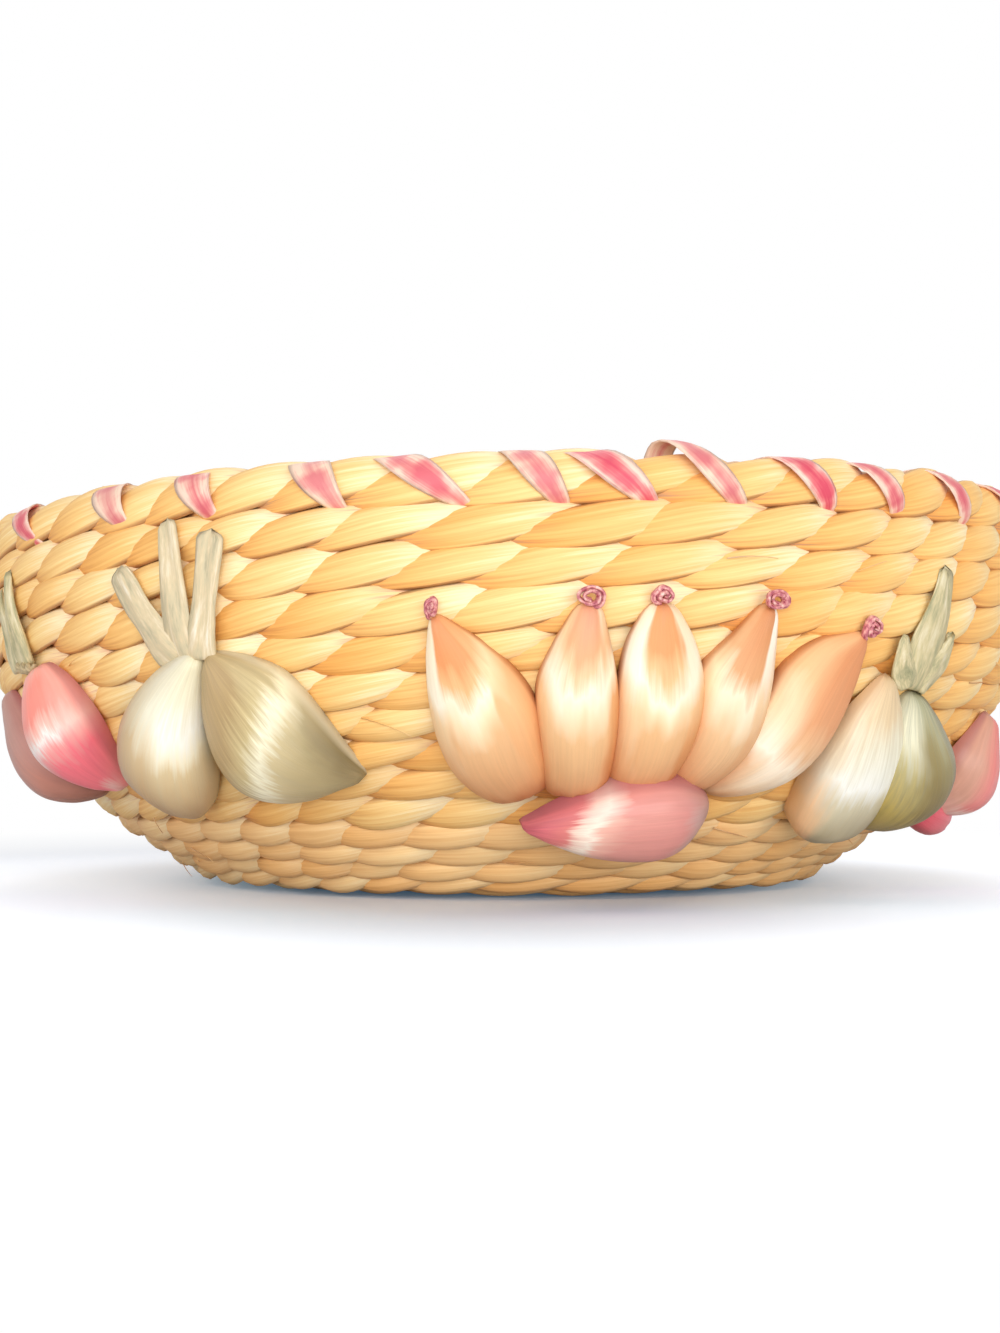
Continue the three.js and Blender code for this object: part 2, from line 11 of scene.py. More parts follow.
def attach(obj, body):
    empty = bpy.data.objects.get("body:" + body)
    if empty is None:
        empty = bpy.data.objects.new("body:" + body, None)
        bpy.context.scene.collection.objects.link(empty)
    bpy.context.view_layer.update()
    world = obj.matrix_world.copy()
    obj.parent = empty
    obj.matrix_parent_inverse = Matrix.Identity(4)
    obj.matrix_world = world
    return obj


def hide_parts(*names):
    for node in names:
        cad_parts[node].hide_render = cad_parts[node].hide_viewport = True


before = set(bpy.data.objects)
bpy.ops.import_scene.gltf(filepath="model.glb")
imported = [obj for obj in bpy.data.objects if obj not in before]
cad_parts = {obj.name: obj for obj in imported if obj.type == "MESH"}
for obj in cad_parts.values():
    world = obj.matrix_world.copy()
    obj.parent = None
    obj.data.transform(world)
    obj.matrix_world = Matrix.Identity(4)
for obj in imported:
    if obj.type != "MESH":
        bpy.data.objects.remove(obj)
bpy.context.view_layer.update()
mm = 0.001
print("solid model loaded")


def hexColour(code):
    channels = [int(code[i:i + 2], 16) / 255 for i in (1, 3, 5)]
    return [c / 12.92 if c <= 0.04045 else ((c + 0.055) / 1.055) ** 2.4 for c in channels] + [1]


def addNode(tree, kind, settings=None, inputs=None):
    made = tree.nodes.new("ShaderNode" + kind)
    # a word alone is the operation, colours are a ramp's stops and a tuple is a range; a list fills
    # the sockets in order
    if isinstance(settings, str):
        settings = {"stops" if "#" in settings else "operation": settings}
    if isinstance(settings, tuple):
        settings = {"span": settings}
    if isinstance(inputs, list):
        inputs = dict(enumerate(inputs))
    for name, value in (settings or {}).items():
        if name == "stops":
            # per cent and colour of each stop, parted by commas
            stops = [stop.split() for stop in value.split(",")]
            ramp = made.color_ramp.elements
            while len(ramp) < len(stops):
                ramp.new(1)
            for stop, (place, colour) in zip(ramp, stops):
                stop.position = float(place) / 100
                stop.color = hexColour(colour)
        elif name == "span":
            # the range that comes in, then the range that goes out
            for socket, bound in enumerate(value, 1):
                made.inputs[socket].default_value = bound
        else:
            setattr(made, name, value)
    for name, value in (inputs or {}).items():
        # a node stands for its first output
        if isinstance(value, bpy.types.Node):
            value = value.outputs[0]
        if isinstance(value, bpy.types.NodeSocket):
            tree.links.new(value, made.inputs[name])
        else:
            made.inputs[name].default_value = value
    return made


def newMaterial(name):
    material = bpy.data.materials.new(name)
    material.use_nodes = True
    tree = material.node_tree
    tree.nodes.clear()
    return material, tree


view = {"place": (-2.5, -640, 40), "pitchUp": 3.2, "focalPixels": 1778, "longSide": 1333}
camera = bpy.data.objects.new("camera", bpy.data.cameras.new("camera"))
camera.data.lens = view["focalPixels"] / view["longSide"] * camera.data.sensor_width
camera.location = Vector(view["place"]) * mm
camera.rotation_euler = (math.radians(90 + view["pitchUp"]), 0, 0)
bpy.context.scene.collection.objects.link(camera)
bpy.context.scene.camera = camera
bpy.context.scene.view_settings.view_transform = "Standard"

# soft boxes, all turned to the basket: metres, watts
lamps = {
    "frontLamp": {"place": (-0.16, -1.32, 0.42), "size": 0.6, "tall": 0.6, "power": 4.1},
    "lowLamp": {"place": (0.34, -1.15, 0.12), "size": 1.3, "tall": 0.22, "power": 5.6},
    "leftLamp": {"place": (-1.05, -0.98, 0.34), "size": 0.9, "tall": 0.6, "power": 2.3},
    "rightLamp": {"place": (0.85, -1.12, 0.32), "size": 0.9, "tall": 0.6, "power": 0.7},
    "topLamp": {"place": (0.02, 0.5, 1.35), "size": 1.0, "tall": 1.0, "power": 5.4},
}
aim = Vector((0, 0, 0.06))
for name, lamp in lamps.items():
    light = bpy.data.lights.new(name, "AREA")
    light.shape = "RECTANGLE"
    light.size = lamp["size"]
    light.size_y = lamp["tall"]
    light.energy = lamp["power"]
    holder = bpy.data.objects.new(name, light)
    holder.location = lamp["place"]
    holder.rotation_euler = (aim - holder.location).to_track_quat("-Z", "Y").to_euler()
    bpy.context.scene.collection.objects.link(holder)

surroundings = {"light": 0.46, "seen": 1.0}
world = bpy.data.worlds.new("paleRoom")
world.use_nodes = True
bpy.context.scene.world = world
tree = world.node_tree
tree.nodes.clear()
ray = addNode(tree, "LightPath")
glossy = addNode(tree, "Math", "MAXIMUM", [ray.outputs["Is Camera Ray"], ray.outputs["Is Glossy Ray"]])
seen = addNode(tree, "Math", "MAXIMUM", [glossy, ray.outputs["Is Transmission Ray"]])
strength = addNode(tree, "MapRange", (0, 1, surroundings["light"], surroundings["seen"]), [seen])
back = addNode(tree, "Background", None, {"Color": (1, 1, 1, 1), "Strength": strength})
addNode(tree, "OutputWorld", None, {"Surface": back})

paleFloor = {
    "size": 12, "tint": "10 #e0eafa, 34 #f7f8fb",
    "lift": "11 #384c5c, 15.5 #75828a, 20 #a3aab0, 28 #babfc4",
    "stretch": (1.6, 0.7, 1), "backwards": (-0.8, 1, 0), "behind": (0.1, 0.38, 1.0, 0.35),
    "shadowReach": (0.2, 0.55),
}
floorMaterial, tree = newMaterial("matt white floor")
ray = addNode(tree, "LightPath")
spot = addNode(tree, "TexCoord")
distance = addNode(tree, "VectorMath", "LENGTH", [spot.outputs["Object"]])
# the camera sees the shade lightened in front and at both sides, as wide soft light would leave it,
# and less behind and to the left
stretched = addNode(tree, "VectorMath", "MULTIPLY", [spot.outputs["Object"], paleFloor["stretch"]])
aside = addNode(tree, "VectorMath", "LENGTH", [stretched])
lift = addNode(tree, "ValToRGB", paleFloor["lift"], [aside.outputs["Value"]])
backwards = addNode(tree, "VectorMath", "DOT_PRODUCT", [spot.outputs["Object"], paleFloor["backwards"]])
behind = addNode(tree, "MapRange", {"interpolation_type": "SMOOTHSTEP", "span": paleFloor["behind"]},
    [backwards.outputs["Value"]])
seenLift = addNode(tree, "Math", "MULTIPLY", [ray.outputs["Is Camera Ray"], behind])
# cooler close to the straw, whose warm light falls there
tint = addNode(tree, "ValToRGB", paleFloor["tint"], [distance.outputs["Value"]])
paper = addNode(tree, "BsdfDiffuse", None, {"Color": tint})
glow = addNode(tree, "Emission", None, {"Color": lift, "Strength": seenLift})
both = addNode(tree, "AddShader", None, [paper, glow])
# further off the camera sees plain white, so that the floor has no end
reach = addNode(tree, "MapRange", {"interpolation_type": "SMOOTHSTEP", "span": paleFloor["shadowReach"]},
    [distance.outputs["Value"]])
far = addNode(tree, "Math", "MULTIPLY", [reach, ray.outputs["Is Camera Ray"]])
white = addNode(tree, "Emission", None, {"Color": (1, 1, 1, 1), "Strength": 1.0})
ground = addNode(tree, "MixShader", None, [far, both, white])
addNode(tree, "OutputMaterial", None, {"Surface": ground})
shape = bmesh.new()
bmesh.ops.create_grid(shape, x_segments=1, y_segments=1, size=paleFloor["size"])
floorMesh = bpy.data.meshes.new("floor")
shape.to_mesh(floorMesh)
shape.free()
floor = bpy.data.objects.new("floor", floorMesh)
floor.data.materials.append(floorMaterial)
bpy.context.scene.collection.objects.link(floor)
print("camera, lights and floor")


bowl = {"footRadius": 105, "rimRadius": 180, "height": 117.5, "footPull": (33, 18), "rimPull": (18, 59.5),
    "rightSideRise": 8, "wall": 13.1, "baseLift": 0.3}


def bowlOutline(steps=600):
    corners = [(bowl["footRadius"], 0), (bowl["footRadius"] + bowl["footPull"][0], bowl["footPull"][1]),
        (bowl["rimRadius"] + bowl["rimPull"][0], bowl["height"] - bowl["rimPull"][1]),
        (bowl["rimRadius"], bowl["height"])]
    spots, climbs = [], []
    for i in range(steps + 1):
        t = i / steps
        weights = ((1 - t) ** 3, 3 * t * (1 - t) ** 2, 3 * t * t * (1 - t), t ** 3)
        spots.append(Vector([sum(w * c[axis] for w, c in zip(weights, corners)) for axis in (0, 1)]))
        climbs.append(climbs[-1] + (spots[-1] - spots[-2]).length if i else 0.0)
    even, j = [], 0
    for i in range(steps + 1):
        climb = climbs[-1] * i / steps
        while j < steps - 1 and climbs[j + 1] < climb:
            j += 1
        share = (climb - climbs[j]) / (climbs[j + 1] - climbs[j])
        even.append(spots[j].lerp(spots[j + 1], share))
    return even, climbs[-1]


outline, wallLength = bowlOutline()
outlineStep = wallLength / (len(outline) - 1)


# radius and height of a point: "climb" up the wall from the foot, "out" from its outer face
def sectionPoint(climb, out):
    place = min(max(climb / outlineStep, 0), len(outline) - 1.001)
    i = int(place)
    here, there = outline[i], outline[i + 1]
    along = (there - here) / outlineStep
    point = here.lerp(there, place - i) + along * (climb - place * outlineStep)
    return point.x + along.y * out, point.y - along.x * out


# "turn" goes round from the front towards the right, in radians
def wallPoint(turn, climb, out):
    radius, height = sectionPoint(climb, out)
    height *= 1 + bowl["rightSideRise"] / bowl["height"] * (1 + math.sin(turn)) / 2
    return Vector((radius * math.sin(turn), -radius * math.cos(turn), height)) * mm


# the flat base: rows lie round the middle, their outer face down
def basePoint(turn, radius, out):
    return Vector((radius * math.sin(turn), -radius * math.cos(turn), bowl["baseLift"] - out)) * mm


def newShape():
    shape = bmesh.new()
    shape.loops.layers.uv.new("pattern")
    return shape


# Rolls a flat grid into a strand, husk or tube. place(s, t) gives the point, pattern(s, t) the
# place on the material: s runs along and t round, both from 0 to 1.
def rollSheet(shape, along, around, place, pattern):
    layer = shape.loops.layers.uv.active
    sheet = bmesh.ops.create_grid(shape, x_segments=along, y_segments=around, size=1)["verts"]
    faces = {face for corner in sheet for face in corner.link_faces}
    for face in faces:
        for loop in face.loops:
            spot = loop.vert.co
            loop[layer].uv = pattern((spot.x + 1) / 2, (spot.y + 1) / 2)
    for corner in sheet:
        corner.co = place((corner.co.x + 1) / 2, (corner.co.y + 1) / 2)


# "left_stalk_1" becomes "leftStalk1"
def pieceName(node):
    first, *rest = node.split("_")
    return first + "".join(word.capitalize() for word in rest)


def finishPiece(name, shape, material, nodes, weld=0.004):
    bmesh.ops.remove_doubles(shape, verts=shape.verts, dist=weld * mm)
    bmesh.ops.recalc_face_normals(shape, faces=shape.faces)
    for face in shape.faces:
        face.smooth = True
    mesh = bpy.data.meshes.new(name)
    shape.to_mesh(mesh)
    shape.free()
    piece = bpy.data.objects.new(name, mesh)
    piece.data.materials.append(material)
    bpy.context.scene.collection.objects.link(piece)
    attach(piece, "root")
    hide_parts(*nodes)


# a smooth value from evenly spaced shares, 0 at the first one and 1 at the last
def smoothShare(shares, s):
    place = min(max(s, 0), 1) * (len(shares) - 1)
    i = min(int(place), len(shares) - 2)
    t = place - i
    a, b = shares[max(i - 1, 0)], shares[i]
    c, d = shares[i + 1], shares[min(i + 2, len(shares) - 1)]
    return b + 0.5 * t * (c - a + t * (2 * a - 5 * b + 4 * c - d + t * (3 * (b - c) + d - a)))


def blendShare(low, high, value):
    t = min(max((value - low) / (high - low), 0), 1)
    return t * t * (3 - 2 * t)


# the first node of each plant skin: its place on the piece's own pattern
def openSkin(name):
    material, tree = newMaterial(name)
    return material, tree, addNode(tree, "UVMap", {"uv_map": "pattern"})


# the last nodes: the fine relief, the surface and the output
def closeSkin(tree, colour, roughness, relief, strength, deep, ior=1.45):
    bump = addNode(tree, "Bump", None, {"Strength": strength, "Distance": deep * mm, "Height": relief})
    skin = addNode(tree, "BsdfPrincipled", None, {"Base Color": colour, "Roughness": roughness, "IOR": ior,
        "Normal": bump})
    addNode(tree, "OutputMaterial", None, {"Surface": skin})


# Water hyacinth straw, dried and twisted: a waxy skin with fine ribs 0.8 mm apart. Each stitch has
# painted shade where it comes out of the weave and a painted highlight where it lies proud.
def strawMaterial(name, look):
    material, tree, uv = openSkin(name)
    split = addNode(tree, "SeparateXYZ", None, [uv])
    share = addNode(tree, "Math", "FRACT", [split])
    number = addNode(tree, "Math", "FLOOR", [split])
    chance = addNode(tree, "TexWhiteNoise", {"noise_dimensions": "1D"}, {"W": number})
    ribPlace = addNode(tree, "CombineXYZ", None, [split, split.outputs[1], number])
    ribScale = addNode(tree, "Mapping", None, {"Vector": ribPlace, "Scale": (2.2, look["ribs"], 0.37)})
    ribs = addNode(tree, "TexNoise", None, {"Vector": ribScale, "Scale": 1.0, "Detail": 3.0,
        "Roughness": 0.6})
    # along a stitch, from where it comes out to where it dips under again: painted shade at the ends,
    # a painted highlight between
    shifted = addNode(tree, "MapRange", (0.3, 0.7, -0.1, 0.1), [ribs])
    alongPlace = addNode(tree, "Math", "ADD", [share, shifted])
    warm = addNode(tree, "ValToRGB", look["warm"], [alongPlace])
    pale = addNode(tree, "ValToRGB", look["pale"], [alongPlace])
    straws = addNode(tree, "Mix", {"data_type": "RGBA"}, {0: chance.outputs["Value"], 6: warm, 7: pale})
    ribTone = addNode(tree, "MapRange", (0.3, 0.72, 0.93, 1.03), [ribs])
    toned = addNode(tree, "HueSaturation", None, {"Color": straws.outputs[2], "Value": ribTone})
    # painted shade on the edges that lie deep between two rows, darkest along the bottom edge
    turn = addNode(tree, "Math", "MULTIPLY", [split.outputs[1], 2 * math.pi])
    edge = addNode(tree, "Math", "COSINE", [turn])
    lowerEdgeShade = addNode(tree, "MapRange", (-0.86, -0.99, 0.0, look["creaseShade"]), [edge])
    upperEdgeShade = addNode(tree, "MapRange", (0.9, 1.0, 0.0, look["creaseShade"] * 0.6), [edge])
    deep = addNode(tree, "Math", "MAXIMUM", [lowerEdgeShade, upperEdgeShade])
    coloured = addNode(tree, "Mix", {"data_type": "RGBA"}, {0: deep, 6: toned, 7: hexColour(look["shade"])})
    rough = addNode(tree, "MapRange", (0.3, 0.7, 0.5, 0.68), [ribs])
    closeSkin(tree, coloured.outputs[2], rough, ribs, 0.25, 0.5)
    return material


# two straw tones picked at random per stitch; in both, the dark stops at 0, 66 and 100 are painted shade
# where the strand goes into the weave, and the palest stop is a painted highlight
strawLook = {
    "ribs": 38, "creaseShade": 0.75, "shade": "#ab7550",
    "warm": "0 #c2855a, 7 #e2964a, 20 #f0ad58, 40 #f8c272, 56 #fcd694, 66 #deac84, 83 #eab87e, 100 #c2855a",
    "pale": "0 #c89268, 7 #ebad62, 20 #f7c476, 40 #fddb97, 56 #ffedc2, 66 #e9c29c, 83 #f2ca90, 100 #c89268",
}
# the same straw painted lighter, with fainter shade between rows: painted light for the rows near the foot,
# which face down under the bowl's overhang
lightenedFootStrawLook = {
    "ribs": 34, "creaseShade": 0.7, "shade": "#a9774f",
    "warm": "0 #c88c58, 8 #e6a65e, 22 #f2b76e, 42 #f9c684, 58 #fdd69e, 66 #deac7a, 83 #efbb7e, 100 #c88c58",
    "pale": "0 #d09a6a, 8 #f0b878, 22 #fbcd8e, 42 #ffdda2, 58 #ffeabc, 66 #e8be90, 83 #f7cd96, 100 #d09a6a",
}
straw = strawMaterial("dried straw", strawLook)
lightenedFootStraw = strawMaterial("dried straw painted lighter near the foot", lightenedFootStrawLook)

# Heights of the row lines up the wall, and how many stitches go round in each row. Stakes are
# added as the bowl widens, so the upper rows have more.
weave = {
    "lines": (9, 18, 28, 39, 50.5, 62, 73, 84, 94.5, 105.5, 117.5, 128.5, 140),
    "stitches": (37, 37, 40, 43, 43, 46, 47, 47, 47, 47, 47, 47),
    "starts": (0.1, 0.5, 0.25, 0.6, 0.05, 0.45, 0.8, 0.3, 0.6, 0.1, 0.5, 0.85),
    "lowRows": 3, "stepsPerStake": 8, "ringPoints": 10,
    "swing": 3.4, "thickness": 5.0, "middleHeight": 0.5, "tipHeight": 0.23, "climb": 0.27,
    "lean": 0.14, "uneven": 0.6,
}
# how far a stitch may differ in height and place, as shares of its row and of the way between stakes
unevenShares = {"tall": 0.14, "rise": 0.07, "turn": 0.12}
# near the foot the stitches lie flatter and end blunter
lowWeave = {**weave, "climb": 0.15, "tipHeight": 0.3}
# the stakes don't stand evenly: they crowd together and part five times round the bowl
crowding = {"shift": 0.032, "times": 5, "start": -0.35}


def crowded(turn):
    return turn + crowding["shift"] * math.sin(crowding["times"] * turn + crowding["start"])


# One row, waled: a single weaver passes over two stakes and behind one, rising from the foot of
# the row to its top over each stitch. The stitches' number isn't a multiple of three, so it goes
# round three times and meets itself.
def waledRow(shape, start, end, stitches, firstStake, seed, place, size):
    pick = random.Random(seed)
    odd = [[pick.uniform(-1, 1) for _ in range(4)] for _ in range(stitches + 1)]
    odd[-1] = odd[0]
    height, middle = end - start, start + (end - start) / 2

    def spot(s, t):
        stake = s * 3 * stitches
        number = int(stake / 3 + 1e-6) % stitches
        within = stake - 3 * int(stake / 3 + 1e-6)
        outside = within < 2
        share = within / 2 if outside else within - 2
        full = math.sin(math.pi * min(max(share, 0), 1))
        chance = odd[number]
        swing = (size["swing"] + size["uneven"] * chance[0]) * full ** 0.7
        tall = height * (size["tipHeight"] + (size["middleHeight"] - size["tipHeight"]) * full ** 0.8)
        tall *= 1 + unevenShares["tall"] * chance[1] * full
        thick = size["thickness"] / 2 * (0.6 + 0.4 * full)
        rise = -size["climb"] * height * math.cos(math.pi * share)
        rise += unevenShares["rise"] * height * chance[2] * full
        if not outside:
            swing, rise = -swing, -rise
        turn = 2 * math.pi * (stake + firstStake + unevenShares["turn"] * chance[3] * full) / stitches
        angle = 2 * math.pi * t
        up = tall * math.cos(angle)
        out = thick * math.sin(angle) - size["lean"] * up * (full if outside else -full)
        return place(crowded(turn), middle + rise + up, -bowl["wall"] / 2 + swing + out)

    rollSheet(shape, 3 * stitches * size["stepsPerStake"], size["ringPoints"], spot,
        lambda s, t: (seed * 211 + s * stitches, t))


# a few fibres have split off the straw and stand away from it at one end
fibres = {"inRow": 5, "radius": 0.22, "length": (6, 15), "lift": (0.8, 3.0), "root": 1.6, "steps": 8,
    "slope": (-0.2, 0.7), "bend": (-3, 3), "seed": 500, "around": 5}


def looseFibre(shape, climb, pick):
    turn, long = pick.uniform(-math.pi, math.pi), pick.uniform(*fibres["length"])
    slope, lift, bend = [pick.uniform(*fibres[name]) for name in ("slope", "lift", "bend")]
    reach = sectionPoint(climb, 0)[0]

    def spot(s, t):
        angle = 2 * math.pi * t
        thick = fibres["radius"] * (1 - 0.6 * s)
        ahead = s * long + thick * math.sin(angle)
        up = slope * s * long + bend * s * s + thick * math.sin(angle)
        out = -fibres["root"] + (lift + fibres["root"]) * s + thick * math.cos(angle)
        return wallPoint(turn + ahead / reach, climb + up, out)

    rollSheet(shape, fibres["steps"], fibres["around"], spot, lambda s, t: (900 + climb + 0.3 * s, t))


for row, stitches in enumerate(weave["stitches"]):
    shape = newShape()
    low = row < weave["lowRows"]
    start, end = weave["lines"][row], weave["lines"][row + 1]
    waledRow(shape, start, end, stitches, weave["starts"][row], row + 1, wallPoint,
        lowWeave if low else weave)
    pick = random.Random(fibres["seed"] + row)
    for _ in range(fibres["inRow"]):
        looseFibre(shape, start + (end - start) * pick.uniform(0.1, 0.9), pick)
    finishPiece(f"strawRow{row + 1:02d}", shape, lightenedFootStraw if low else straw,
        [f"weaver_row_{row + 1:02d}"])
print("waled rows")

# The rim: one thicker row on top.
border = {"start": 140, "end": 153, "stitches": 46, "firstStake": 0.3, "stepsPerStake": 8,
    "ringPoints": 12, "swing": 3.4, "thickness": 6.4, "middleHeight": 0.48, "tipHeight": 0.22,
    "climb": 0.26, "lean": 0.05, "uneven": 0.4, "seed": 31}
shape = newShape()
waledRow(shape, border["start"], border["end"], border["stitches"], border["firstStake"], border["seed"],
    wallPoint, border)
finishPiece("rimBorder", shape, straw, ["rim_border"])

# The base: waled rings round a small plain woven middle, and one row round the foot.
base = {"lines": (23, 32, 41, 50, 59, 68, 77, 86, 94.5, 102), "stitchLength": 20, "foot": (0.6, 9),
    "footStitches": 35, "stepsPerStake": 6, "ringPoints": 8, "swing": 3.5, "thickness": 5.0,
    "middleHeight": 0.5, "tipHeight": 0.18, "climb": 0.3, "lean": 0.1, "uneven": 0.4, "ringShift": 0.37,
    "seed": 40, "footStart": 0.3, "footSeed": 60}
shape = newShape()
for ring in range(len(base["lines"]) - 1):
    start, end = base["lines"][ring], base["lines"][ring + 1]
    count = round(math.pi * (start + end) / base["stitchLength"])
    waledRow(shape, start, end, count + (count % 3 == 0), ring * base["ringShift"], base["seed"] + ring,
        basePoint, base)
waledRow(shape, *base["foot"], base["footStitches"], base["footStart"], base["footSeed"], wallPoint, base)

# five flat straws each way, over and under one another
middleWeave = {"straws": 5, "pitch": 9.4, "width": 8.6, "thickness": 3.4, "swing": 2.0, "reach": 26,
    "height": 6.8, "patternLength": 21, "seed": 300, "steps": 36, "around": 10}


def plainStraw(shape, number, crosswise, seed):
    half = (middleWeave["straws"] - 1) / 2
    offset = (number - half) * middleWeave["pitch"]
    reach = math.sqrt(max(middleWeave["reach"] ** 2 - offset ** 2, 1))

    def spot(s, t):
        along = (2 * s - 1) * reach
        wave = math.cos(math.pi * (along / middleWeave["pitch"] + number + (1 if crosswise else 0)))
        ends = min(1, (1 - abs(2 * s - 1)) * 8)
        angle = 2 * math.pi * t
        sideways = offset + middleWeave["width"] / 2 * math.cos(angle) * (0.4 + 0.6 * ends)
        thick = middleWeave["thickness"] / 2 * math.sin(angle) * ends
        up = middleWeave["height"] + middleWeave["swing"] * wave + thick
        return Vector((sideways, along, up) if crosswise else (along, sideways, up)) * mm

    rollSheet(shape, middleWeave["steps"], middleWeave["around"], spot,
        lambda s, t: (seed * 7 + s * 2 * reach / middleWeave["patternLength"], t))


for number in range(middleWeave["straws"]):
    plainStraw(shape, number, False, middleWeave["seed"] + number)
    plainStraw(shape, number, True, middleWeave["seed"] + 10 + number)
finishPiece("wovenBase", shape, lightenedFootStraw, ["base_mat"])

# The stakes that the rows are twined round, hidden inside the wall but for a glimpse between rows.
stakes = {"count": 47, "radius": 1.7, "from": 6, "to": 147, "fromMiddle": 160, "steps": 14, "around": 6}
shape = newShape()
for number in range(stakes["count"]):
    turn = crowded(2 * math.pi * number / stakes["count"])

    def spot(s, t):
        climb = stakes["from"] + (stakes["to"] - stakes["from"]) * s
        angle = 2 * math.pi * t
        radius = stakes["radius"] * min(1, 40 * s * (1 - s))
        beside = radius * math.cos(angle) / stakes["fromMiddle"]
        return wallPoint(turn + beside, climb, -bowl["wall"] / 2 + radius * math.sin(angle))

    rollSheet(shape, stakes["steps"], stakes["around"], spot, lambda s, t: (400 + number + s * 7, t))
finishPiece("stakes", shape, lightenedFootStraw, ["stake_frame"])
print("rim, base and stakes")

# Dyed raffia ribbon: crimson where the dye pooled, faded to pale pink along both edges.
pinkRaffia, tree, uv = openSkin("dyed raffia ribbon")
split = addNode(tree, "SeparateXYZ", None, [uv])
share = addNode(tree, "Math", "FRACT", [split])
number = addNode(tree, "Math", "FLOOR", [split])
chance = addNode(tree, "TexWhiteNoise", {"noise_dimensions": "1D"}, {"W": number})
fibrePlace = addNode(tree, "Mapping", None, {"Vector": uv, "Scale": (4.0, 34, 1)})
strands = addNode(tree, "TexNoise", None, {"Vector": fibrePlace, "Scale": 1.0, "Detail": 3.0})
turn = addNode(tree, "Math", "MULTIPLY", [split.outputs[1], 2 * math.pi])
side = addNode(tree, "Math", "COSINE", [turn])
sideAbs = addNode(tree, "Math", "ABSOLUTE", [side])
fray = addNode(tree, "MapRange", (0.3, 0.7, -0.2, 0.2), [strands])
blotchPlace = addNode(tree, "Mapping", None, {"Vector": uv, "Scale": (9.0, 2.0, 1)})
blotch = addNode(tree, "TexNoise", None, {"Vector": blotchPlace, "Scale": 1.0, "Detail": 2.0})
pool = addNode(tree, "MapRange", (0.35, 0.65, -0.3, 0.42), [blotch])
# the dye is strongest half way down the front, and fades where the ribbon goes under
fromFront = addNode(tree, "MapRange", (0.0, 1.0, -0.74, 0.26), [share])
frontAbs = addNode(tree, "Math", "ABSOLUTE", [fromFront])
ends = addNode(tree, "MapRange", (0.1, 0.3, 0.0, 0.55), [frontAbs])
edgePlace = addNode(tree, "Math", "ADD", [sideAbs, fray])
pooled = addNode(tree, "Math", "ADD", [edgePlace, pool])
dyePlace = addNode(tree, "Math", "ADD", [pooled, ends])
dye = addNode(tree, "ValToRGB", "0 #d84a60, 35 #e0656f, 62 #e88a88, 85 #efb0a4, 100 #f5d0bd", [dyePlace])
faded = addNode(tree, "ValToRGB", "0 #d98080, 40 #e29a90, 75 #ecb8a4, 100 #f3d2b8", [dyePlace])
fadePlace = addNode(tree, "MapRange", (0, 1, 0, 0.9), [chance.outputs["Value"]])
dyed = addNode(tree, "Mix", {"data_type": "RGBA"}, {0: fadePlace, 6: dye, 7: faded})
closeSkin(tree, dyed.outputs[2], 0.5, strands, 0.4, 0.4, ior=1.5)

# Where each wrap crosses the top of the rim, in degrees, and how wide it lies there.
ribbon = {
    "wraps": (-180, -170, -160, -150, -140, -130, -120, -110, -100, -90, -80, -68, -55.8, -39.8, -29.5,
        -18, -10.8, 0.4, 5.6, 14, 24.4, 32.7, 43, 54, 64, 74, 84, 94, 104, 114, 124, 134, 145, 156, 168),
    "widths": {-68: 9, -55.8: 10, -39.8: 12, -29.5: 11, -18: 11, -10.8: 9.5, 0.4: 10, 5.6: 10.5, 14: 8,
        24.4: 9.5, 32.7: 8.5, 43: 8.5},
    "plainWidth": 8, "pinched": 4.4, "thickness": 1.0, "stepsPerWrap": 26, "ringPoints": 8,
    "reachOut": 7.6, "reachUp": 7.4, "middleClimb": 146.4, "outsideShare": 0.8,
    # how far a loop stands off, and how much of its way on it makes down the front
    "loose": {14: 3.6, 43: 0.8, 0.4: 0.6},
    "steep": {-80: 0.45, -68: 0.42, -55.8: 0.32, -39.8: 0.34, -29.5: 0.28, -18: 0.52, -10.8: 0.66,
        14: 0.62, 24.4: 0.62, 32.7: 0.5, 43: 0.5},
}


def ribbonSpot(place):
    wraps = ribbon["wraps"]
    number = math.floor(place) % len(wraps)
    within = place - math.floor(place)
    here = wraps[number]
    there = wraps[number + 1] if number + 1 < len(wraps) else wraps[0] + 360
    outside = ribbon["steep"].get(here, ribbon["outsideShare"])
    angle = math.pi / 2 - 2 * math.pi * within
    if within < 0.5:
        # an even slant down the front
        share = outside * (0.7 * (1 - math.sin(angle)) / 2 + 0.3 * within * 2)
    else:
        share = outside + (1 - outside) * (within - 0.5) * 2
    turn = math.radians(here + (there - here) * share)
    key = here if within < 0.5 else wraps[(number + 1) % len(wraps)]
    atTop = blendShare(0.5, 0, within) if within < 0.5 else blendShare(0.75, 1, within)
    spread = blendShare(0.5, 0.16, within) if within < 0.5 else blendShare(0.6, 0.9, within)
    lift = ribbon["loose"].get(key, 0) * atTop
    climb = ribbon["middleClimb"] + (ribbon["reachUp"] + lift) * math.sin(angle)
    out = -bowl["wall"] / 2 + (ribbon["reachOut"] + lift * 0.5) * math.cos(angle)
    width = ribbon["widths"].get(key, ribbon["plainWidth"])
    return wallPoint(turn, climb, out), ribbon["pinched"] + (width - ribbon["pinched"]) * spread


def ribbonFrame(place):
    step = 0.01
    here, width = ribbonSpot(place)
    before, after = ribbonSpot(place - step)[0], ribbonSpot(place + step)[0]
    along = (after - before).normalized()
    turn = math.atan2(here.x, -here.y)
    heart = wallPoint(turn, ribbon["middleClimb"], -bowl["wall"] / 2)
    away = here - heart
    away = (away - along * away.dot(along)).normalized()
    return here, along.cross(away), away, width


